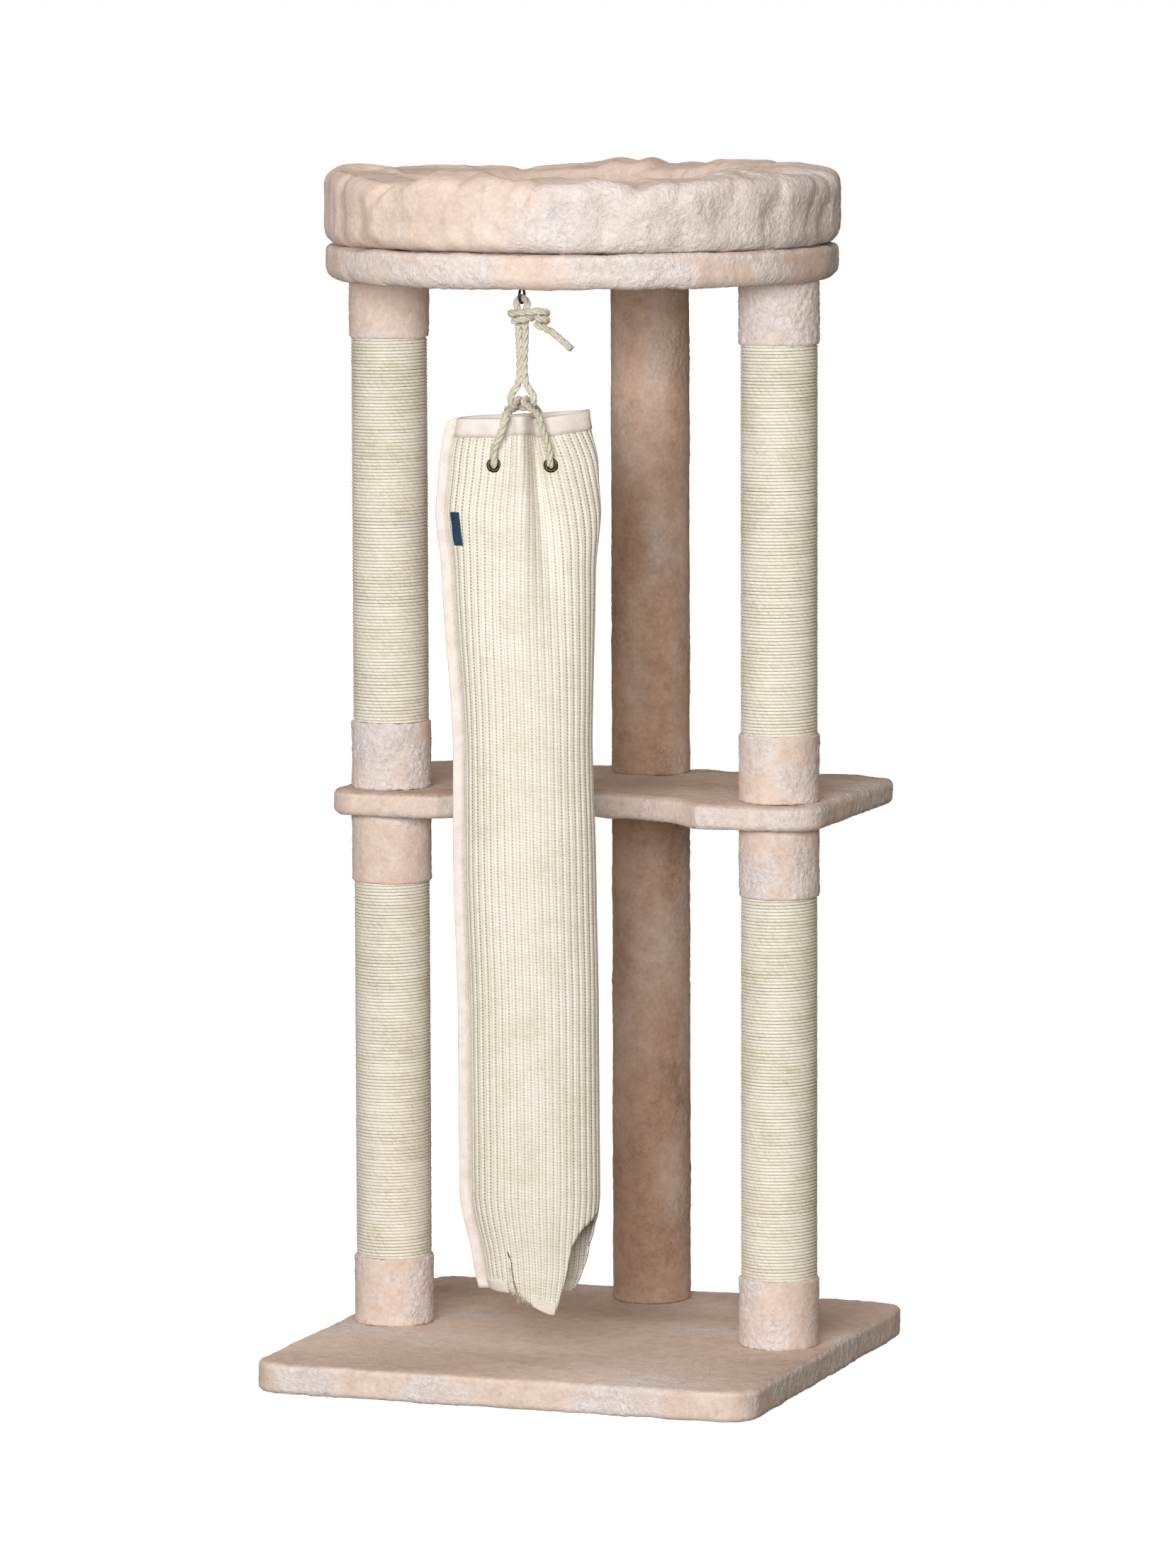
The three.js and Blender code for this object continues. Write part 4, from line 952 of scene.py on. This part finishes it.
def bolster():
    """A stuffed plush ring. Its outer wall stands nearly straight on the perch's edge, its rim rises
    and sags by the hand's width, and its cloth is gathered where it is sewn, at its foot and inside."""
    around, across = 300, 56
    turn = np.arange(around)[:, None] / around * tau
    fine = np.linspace(0, tau, 4001)
    flat_foot = np.sin(fine) < 0
    side = np.sign(np.cos(fine)) * np.abs(np.cos(fine)) ** np.where(flat_foot, 0.36, 0.6)
    rise = np.sign(np.sin(fine)) * np.abs(np.sin(fine)) ** np.where(flat_foot, 0.36, 0.66)
    done = so_far(np.hypot(np.diff(side) * 52, np.diff(rise) * 43))
    want = np.arange(across) / across * done[-1]
    side, rise = (np.interp(want, done, v)[None] for v in (side, rise))
    where = spread(np.cos(turn) * 300, np.sin(turn) * 300, 0)
    from_camera = apart(turn, CAMERA_SIDE)
    top = np.clip(rise, 0, 1)
    rim = RIM_HEIGHT + np.interp(from_camera, *zip(*RIM))
    middle = BED_FOOT + 42
    z = middle + np.where(rise > 0, rise * (rim - middle), rise * 41.6)
    width = BOLSTER_WIDTH / 2 - 1.5 + 1.2 * drift(where, 70, 73)[:, None]
    r = BOLSTER_RADIUS - BOLSTER_WIDTH / 2 + side * width
    tuck = hump(z - BED_FOOT, 9) * np.clip(side, 0, 1)
    r = r - tuck * (1.8 + 1.5 * drift(where, 14, 74)[:, None])
    wall = np.clip(side, 0, 1) * np.clip(1 - rise ** 2, 0, 1)
    r = r + wall * (1.6 * drift(where, 26, 75)[:, None] + 1.1 * drift(where, 11, 77)[:, None])
    for place, wide, deep in FOLDS_IN_RIM:
        crease = hump(apart(turn, CAMERA_SIDE + np.radians(place + 5 * rise)), wide)
        crease = crease * np.clip(side + 0.5, 0, 1) * np.clip(rise + 0.45, 0, 1.2)
        r = r - deep * crease
        z = z - 0.5 * deep * crease * top
    gathers = np.clip(-side, 0, 1) * np.clip(1 - rise ** 2, 0.15, 1)
    r = r + gathers * (2.2 * drift(where, 17, 80)[:, None] + 1.4 * drift(where, 8, 81)[:, None])
    points = spread(np.cos(turn) * r, np.sin(turn) * r, z)
    faces = quads(around, across, loop_rows=True, loop_columns=True)
    foot = points[:, 2] < BED_FOOT + 3.5
    inner_seam = np.tile(side[0] < -0.985, around)
    panels = np.min(np.abs(np.stack([apart(turn[:, 0], CAMERA_SIDE + radians(p))
                                     for p in PANEL_SEAMS])), 0) < 0.7
    step = stuffed(points, faces, foot | inner_seam | (np.repeat(panels, across) & (points[:, 2] < 1380)),
                   slack=0.09, pressure=5, frames_run=24).reshape(around, across, 3)
    step = softened(step, 3)
    step = step - softened(step, 60)  # the creases stay, and the form as cut
    far = np.linalg.norm(step, axis=2, keepdims=True)
    points = points + (step * np.minimum(1.1, 5 / np.maximum(far, 1e-6))).reshape(-1, 3)
    points, faces = finer(points, faces)
    points[:, 2] = np.maximum(points[:, 2], BED_FOOT + 0.2)
    bearing = apart(np.arctan2(points[:, 1], points[:, 0]), CAMERA_SIDE)
    seam = -17.5 + 7 * (points[:, 2] - BED_FOOT) / 85
    panel = 1 / (1 + np.exp(-(bearing - seam + 2.5 * drift(points, 18, 79)) / 1.6))
    panel *= 1 / (1 + np.exp((bearing - 130) / 6))
    inside = np.hypot(points[:, 0], points[:, 1]) < BOLSTER_RADIUS - BOLSTER_WIDTH / 2 - 12
    nap = np.clip(0.08 + 0.8 * panel * ~inside + 0.35 * drift(points, 40, 78), 0, 1)
    points = pile(points, faces, 76, nap)
    made = plush_piece("bed_bolster_cover", points, faces, nap, "bed", "bed_bolster", 0, 4500, 76)
    return made


def bed_cushion():
    """A round stuffed cushion, crowned, its cloth drawn in at the seam round its edge."""
    around, across = 180, 32
    turn = np.arange(around)[:, None] / around * tau
    s = np.linspace(0.03, 1, across)[None]
    radius = BOLSTER_RADIUS - BOLSTER_WIDTH - 8
    edge, crown, belly = BED_FOOT + 13, 20, 12.6
    top = edge + crown * (1 - s ** 3.2)
    low = edge - belly * (1 - s ** 9)
    r = radius * np.concatenate([s, s[:, ::-1]], 1)
    points = spread(np.cos(turn) * r, np.sin(turn) * r, np.concatenate([top, low[:, ::-1]], 1))
    count = across * 2
    faces = quads(around, count, loop_rows=True)
    seam = np.tile((np.abs(np.arange(count) - across + 0.5) < 1) | (np.arange(count) > across), around)
    step = stuffed(points, faces, seam, slack=0.06, pressure=3, frames_run=18).reshape(around, count, 3)
    far = np.linalg.norm(step, axis=2, keepdims=True)
    step = softened(step, 1) * np.minimum(1, 6 / np.maximum(far, 1e-6))
    points, faces = finer(points + step.reshape(-1, 3), faces)
    nap = brushed(points, 84, 0.4, 60)
    shown = pile(points, faces, 83, nap, 0.6)
    made = plush_piece("bed_cushion_cover", shown, faces, nap, "bed", "bed_cushion", 0, 1500, 83,
                       open_rings(faces))
    return made


def open_rings(faces):
    """The open edges of a surface, each as one face that closes it."""
    edges = {}
    for face in faces.tolist():
        for a, b in zip(face, face[1:] + face[:1]):
            edges[(a, b)] = True
    after = {b: a for a, b in edges if (b, a) not in edges}
    rings = []
    while after:
        first, here = after.popitem()
        ring = [first]
        while here != first:
            ring.append(here)
            here = after.pop(here)
        rings.append(ring)
    return rings


bolster()
bed_cushion()


# ---- sleeve ----
RIBS = 46


def even_angles(shares, z):
    """Angles of the sleeve, from its left seam by the front, at even shares of its girth."""
    fine = np.linspace(pi, -pi, 1441)
    x, y = sleeve_plan(fine, np.full(len(fine), float(z)))
    done = so_far(np.hypot(np.diff(x), np.diff(y)))
    return np.interp(shares * done[-1], done, fine)


def sleeve_cloth():
    columns, rows = RIBS * 8, 176
    share = np.arange(columns) / columns
    levels = np.linspace(0, 1, rows)
    height = SLEEVE_BOTTOM + levels * (SLEEVE_TOP - SLEEVE_BOTTOM)
    wander = np.stack([drift(spread(share * 900, z * 0.45, 0), 34, 92) for z in height])
    angle = np.stack([even_angles(share, z) for z in height])
    angle += 0.012 * wander * np.sin(share * tau) ** 2
    low, high = bottom_edge(angle), top_edge(angle)
    z = low + (high - low) * levels[:, None]
    rib = share * RIBS
    crest = (0.5 - 0.5 * np.cos(tau * rib)) ** 0.38
    half = CLOTH / 2
    opened = np.cos(angle) ** 2
    outer = sleeve_point(angle, z, half - (0.6 + 0.8 * opened) * (1 - crest)[None])
    near = slice(None, None, 2)
    inner = sleeve_point(angle[:, near], z[:, near], -half)
    few = columns // 2
    start = rows * columns
    faces = quads(rows, columns, loop_columns=True).tolist()
    faces += quads(rows, few, loop_columns=True, start=start)[:, ::-1].tolist()
    for row, flip in ((0, False), (rows - 1, True)):
        for j in range(few):
            a, b, c = (row * columns + (2 * j + k) % columns for k in range(3))
            d, e = start + row * few + j, start + row * few + (j + 1) % few
            for face in ((d, b, a), (d, e, b), (e, c, b)):
                faces.append(face[::-1] if flip else face)
    points = hung(np.vstack([outer, inner]))
    made = piece("ribbed_sleeve", points, faces, RIBBED, "sleeve", ["sleeve_cloth"])
    mark(made, "weave", np.vstack([spread(rib, z, opened), spread(rib[near], z[:, near], opened[:, near])]))
    return made


TEAR = ((-20.5, 171, 1.2), (-19, 167, 1.9), (-17, 162, 0.7), (-16, 154, 0.9), (-14.6, 143, 1.1),
        (-12.6, 132, 1.5), (-9, 120, 2.6), (-7, 100, 4))


def tear():
    """The shape of a torn slit, as a closed wedge that goes through the front of the sleeve."""
    x, z, wide = np.array(TEAR).T
    sides = np.array((-0.5, 0.5, 0.5, -0.5))
    points = spread(x[:, None] + sides * wide[:, None], np.array((-60.0, -60, -8, -8)), z[:, None])
    return put_mesh("tear", hung(points), tube(len(x), 4, turned=True))


def cut_holes(cloth):
    """Cuts the four eyelet holes and the tear, and gives the new edges their cloth's weave."""
    tools = [tear()]
    for point, out in EYELETS.values():
        bpy.ops.mesh.primitive_cylinder_add(vertices=32, radius=EYELET_HOLE * MM, depth=12 * MM)
        rod = bpy.context.object
        rod.rotation_mode = "QUATERNION"
        rod.location = Vector(hung(point)[0] * MM)
        rod.rotation_quaternion = Vector(hung_way(out)).to_track_quat("Z", "Y")
        tools.append(rod)
    bpy.context.view_layer.update()
    for rod in tools:
        cutter = cloth.modifiers.new("hole", "BOOLEAN")
        cutter.operation, cutter.solver, cutter.object = "DIFFERENCE", "EXACT", rod
    before = KDTree(len(cloth.data.vertices))
    for number, point in enumerate(cloth.data.vertices):
        before.insert(point.co, number)
    before.balance()
    weave = np.empty(len(cloth.data.vertices) * 3, np.float32)
    cloth.data.attributes["weave"].data.foreach_get("vector", weave)
    graph = bpy.context.evaluated_depsgraph_get()
    mesh = bpy.data.meshes.new_from_object(cloth.evaluated_get(graph), depsgraph=graph)
    cloth.modifiers.clear()
    cloth.data = mesh
    if "weave" in mesh.attributes:
        mesh.attributes.remove(mesh.attributes["weave"])
    nearest = [before.find(point.co)[1] for point in mesh.vertices]
    mark(cloth, "weave", weave.reshape(-1, 3)[nearest])
    for rod in tools:
        bpy.data.objects.remove(rod)


# where tape is left at the foot: from and to, in degrees, and points along it
FOOT_TAPES = ((128, 322, 220), (66, 97, 50))


def tape_over(edge, direction, height, turns=None, columns=300):
    """Tape folded over an edge of the cloth: points and faces of a U channel, all the way round, or
    from one angle to another with closed ends."""
    half = TAPE_FACE
    if turns:
        angle = np.radians(np.linspace(*turns, columns))
    else:
        angle = even_angles(np.arange(columns) / columns, SLEEVE_TOP)
    bend = np.linspace(0, pi, 9)
    outer = [(half, -height), (half, -height * 0.66), (half, -height * 0.33)]
    outer += [(half * cos(b), (half - CLOTH / 2) * sin(b)) for b in bend]
    outer += [(-half, -height * 0.33), (-half, -height * 0.66), (-half, -height)]
    thin = CLOTH / 2 + FIT / 2
    section = outer + [(-thin, -height), (-thin, FIT), (thin, FIT), (thin, -height)]
    away, up = np.array(section).T
    z = edge(angle)[:, None] + direction * up[None]
    points = sleeve_point(angle[:, None] + 0 * z, z, away[None] + 0 * z)
    count = len(section)
    if turns:
        return points, tube(columns, count, turned=direction < 0)
    return points, quads(columns, count, loop_rows=True, loop_columns=True)[:, ::direction].tolist()


def side_tape():
    """The left seam, both layers of cloth bound flat with the same tape."""
    half, width, rows = TAPE_FACE, NARROW_TAPE, 240
    low, high = bottom_edge(np.array([pi]))[0] - 1.5, top_edge(np.array([pi]))[0] + 1.5
    z = np.linspace(low, high, rows)
    x = sleeve_plan(np.full(rows, pi), z)[0]
    sway = drift(spread(0, 0, z), 70, 91)
    bend = np.linspace(-pi / 2, pi / 2, 7)
    section = [(0, -half), (-width / 2, -half)]
    section += [(-width + half * 0.5 - half * 0.6 * cos(b), half * sin(b)) for b in bend]
    section += [(-width / 2, half), (0, half)]
    sx, sy = np.array(section).T
    corner = np.clip((z - (high - 11)) / 11, 0, 1)
    reach = np.sqrt(1 - corner ** 2) * 0.75 + 0.25
    px = x[:, None] - CLOTH / 2 + sx[None] * reach[:, None]
    py = sy[None] * (0.55 + 0.05 * sway[:, None]) + 1.2 * sway[:, None]
    return spread(px, py, z[:, None]), tube(rows, len(section), turned=True)


def binding():
    points, faces, size = [], [], 0
    strips = [tape_over(top_edge, 1, TOP_TAPE)]
    strips += [tape_over(bottom_edge, -1, NARROW_TAPE, (first, last), count)
               for first, last, count in FOOT_TAPES]
    for made_points, made_faces in strips + [side_tape()]:
        points.append(made_points)
        faces += [[v + size for v in f] for f in made_faces]
        size += len(made_points)
    return piece("binding", hung(np.vstack(points)), faces, BINDING, "sleeve", ["sleeve_binding"])


def stitches():
    """Lockstitches 3 mm long along the inner edge of each tape, and the loose threads of the tear."""
    stitch, pitch, margin = 3.0, 4.2, 2.5
    roots, ways = [], []

    def sewn(line):
        line = evenly(line, pitch)
        roots.extend(line[:-1])
        ways.extend(np.diff(line, axis=0))

    top, foot = (top_edge, margin - TOP_TAPE), (bottom_edge, NARROW_TAPE - margin)
    for first, last, count, (edge, inward) in ((172, 8, 90, top), (-172, -8, 90, top), (168, 129, 30, foot),
                                               (96, 67, 30, foot)):
        turn = np.radians(np.linspace(first, last, count))
        sewn(sleeve_point(turn, edge(turn) + inward, TAPE_FACE + 0.05))
    down = np.linspace(SLEEVE_TOP - 24, bottom_edge(pi) + 14, 200)
    seam = sleeve_plan(np.full(200, pi), down)[0]
    for face in (-1, 1):
        sewn(spread(seam - 4.5, face * TAPE_FACE * 0.62, down))
    sewn_points, faces = stray_fibres(np.array(roots), np.array(ways), np.full(len(roots), stitch),
                                      thick=0.6, start=0, seed=61, stations=3)
    chance = np.random.default_rng(62)
    torn = 70
    share = chance.uniform(0, 1, torn) ** 0.7
    x, z, _ = zip(*TEAR[2:])
    done = np.linspace(0, 1, len(x))
    along = np.interp(share, done, x) + chance.choice([-1, 1], torn) * (0.5 + 2 * share)
    height = np.maximum(np.interp(share, done, z), 116)
    loose = 36  # from the cloth's edge, where the tape has come away
    edge_turn = np.radians(chance.uniform(98, 126, loose))
    plan = sleeve_plan(np.radians(np.linspace(80, 140, 400)), np.full(400, 140.0))[0]
    turn = np.radians(np.interp(along, plan[::-1], np.linspace(140, 80, 400)))
    torn_roots = np.vstack([sleeve_point(turn, height, CLOTH / 2 - 0.3),
                            sleeve_point(edge_turn, bottom_edge(edge_turn) + 1, 0.6)])
    torn_ways = np.vstack([chance.normal(0, 0.5, (torn, 3)) + (0, -0.5, -1.1),
                           chance.normal(0, 0.3, (loose, 3)) + (0, -0.1, -1)])
    torn_length = np.concatenate([chance.uniform(2.5, 7, torn), chance.uniform(3, 9, loose)])
    torn_points, torn_faces = stray_fibres(torn_roots, torn_ways, torn_length, thick=0.7,
                                           start=len(sewn_points), seed=63)
    return piece("stitches_and_loose_threads", hung(np.vstack([sewn_points, torn_points])),
                 faces + torn_faces, THREAD, "sleeve", ())


cloth = sleeve_cloth()
cut_holes(cloth)
tape = binding()
thread = stitches()
LAYER = CLOTH / 2 + FIT
EYELET_PROFILE = [(4.9, -LAYER - 0.6), (5.6, -LAYER - 1), (7.4, -LAYER - 0.9), (8.5, -LAYER - 0.3),
                  (8.4, -LAYER), (6.1, -LAYER), (6.1, LAYER), (8.4, LAYER), (8.5, LAYER + 0.3),
                  (7.4, LAYER + 0.9), (5.6, LAYER + 1), (4.9, LAYER + 0.6)]  # radius and height


def pressed_eyelet(where, point, way, sides=40):
    """A closed bronze ring, turned about a point of the cloth and rolled over on both its faces."""
    way = unit(way)
    side = unit(np.cross(way, (0, 0, 1) if abs(way[2]) < 0.9 else (1, 0, 0)))
    around = circle(side[None], np.cross(way, side)[None], sides)[0, :, None]
    r, h = np.array(EYELET_PROFILE).T[..., None]
    points = (point + around * r + way * h).reshape(-1, 3)
    faces = quads(sides, len(EYELET_PROFILE), loop_rows=True, loop_columns=True)
    return piece(f"pressed_eyelet_{where}", points, faces, BRONZE, "sleeve", [f"eyelet_{where}"])


rings = [pressed_eyelet(where, hung(point)[0], hung_way(out)) for where, (point, out) in EYELETS.items()]


TAB_TOP, TAB_FOOT = SLEEVE_TOP - 108, SLEEVE_TOP - 146
TAB_TURN, TAB_HALF, TAB_TILT = radians(154), 0.115, 0.02  # in radians round the sleeve


def tab():
    """A folded loop of plain narrow blue tape, caught beside the seam."""
    rows, columns = 30, 10
    z = np.linspace(TAB_TOP, TAB_FOOT, rows)[:, None]
    turn = TAB_TURN - TAB_TILT * np.linspace(0, 1, rows)[:, None] + np.linspace(-TAB_HALF, TAB_HALF, columns)
    ripple = 0.35 * np.sin((z - 990) / (TAB_TOP - TAB_FOOT) * pi * 3)
    grids = [sleeve_point(turn, z, CLOTH / 2 + out + ripple) for out in (1.6, 0.5)]
    faces = quads(rows, columns)
    back = quads(rows, columns, start=rows * columns)[:, ::-1]
    i, j = rim_of(rows, columns).T
    ring = i * columns + j
    after = np.roll(ring, -1)
    wall = np.stack([ring, after, after + rows * columns, ring + rows * columns], 1)
    return piece("plain_blue_tab", hung(np.vstack(grids)), np.vstack([faces, back, wall]), BLUE, "sleeve",
                 ["blank_tab"])


blue_tab = tab()


# ---- screw eye ----
SHANK = [(0, 0.3, 1281), (0, 0, 1290), (0, 0, 1303)]  # from the ring up into the perch


def screw_eye():
    """A bent steel eye with a short shank that goes up into the perch."""
    bend = [(0, EYE_RING * cos(a), EYE_CENTRE + EYE_RING * sin(a))
            for a in np.linspace(pi / 2 + 0.2, pi * 2.5 - 0.15, 40)]
    line = smooth_line(bend + SHANK, 0.8) + HANG
    side, up = frames(line)
    points = (line[:, None] + circle(side, up, 12) * WIRE_RADIUS).reshape(-1, 3)
    piece("bent_screw_eye", points, tube(len(line), 12), DARK_STEEL, "stand", ["screw_eye"])


screw_eye()

# ---- finishes of the CAD parts that stay ----
KEPT = {"bolt": ZINC, "washer": ZINC, "stud": ZINC, "tube": PAPER, "board": FIBREBOARD}
for name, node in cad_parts.items():
    for word, finish in KEPT.items():
        if word in name:
            node.data.materials.clear()
            node.data.materials.append(finish)

# ---- studio ----
corners = [(-40, -40, -0.0015), (40, -40, -0.0015), (40, 40, -0.0015), (-40, 40, -0.0015)]
floor = put_mesh("floor", corners, [(0, 1, 2, 3)], 1)
floor.data.materials.append(shaded(new_finish("white_studio_floor")[0], Base_Color=paint("#D8D8D8"),
                                   Roughness=0.9, Emission_Color=paint("#FFFFFF"), Emission_Strength=1.0))
floor.visible_diffuse = False  # the white paper lights itself and not the object
floor.visible_glossy = False

world = bpy.data.worlds.new("studio")
bpy.context.scene.world = world
world.use_nodes = True
sky = world.node_tree
room = sky.nodes["Background"]
room.inputs["Color"].default_value = (1.0, 0.8, 0.6, 1)  # warm light off the walls
room.inputs["Strength"].default_value = 0.19
paper = add(sky, "Background", {"Color": paint("#FFFFFF"), "Strength": 1.0})
both = add(sky, "MixShader", {0: add(sky, "LightPath", {}).outputs["Is Camera Ray"], 1: room.outputs[0],
                              2: paper.outputs[0]})
sky.links.new(both.outputs[0], sky.nodes["World Output"].inputs["Surface"])


def softbox(name, azimuth, elevation, distance, width, height, power, colour):
    """A soft light that faces the middle of the tree. Azimuth 0 is straight in front."""
    light = bpy.data.lights.new(name, "AREA")
    light.shape, light.size, light.size_y, light.energy = "RECTANGLE", width, height, power
    light.color = paint(colour)[:3]
    made = put(name, light)
    a, e = radians(azimuth), radians(elevation)
    way = Vector((sin(a) * cos(e), -cos(a) * cos(e), sin(e)))
    made.location = Vector((0, 0, 0.7)) + way * distance
    made.rotation_mode = "QUATERNION"
    made.rotation_quaternion = way.to_track_quat("Z", "Y")
    made.visible_camera = False


softbox("key", azimuth=9, elevation=13, distance=5.5, width=3.4, height=1.6, power=290, colour="#FFFFFF")
softbox("overhead", azimuth=20, elevation=80, distance=3.2, width=3, height=3, power=26, colour="#FFF6EE")
softbox("behind", azimuth=200, elevation=12, distance=5, width=2.5, height=2.5, power=30, colour="#FFF4EA")
bpy.context.scene.view_settings.view_transform = "Standard"
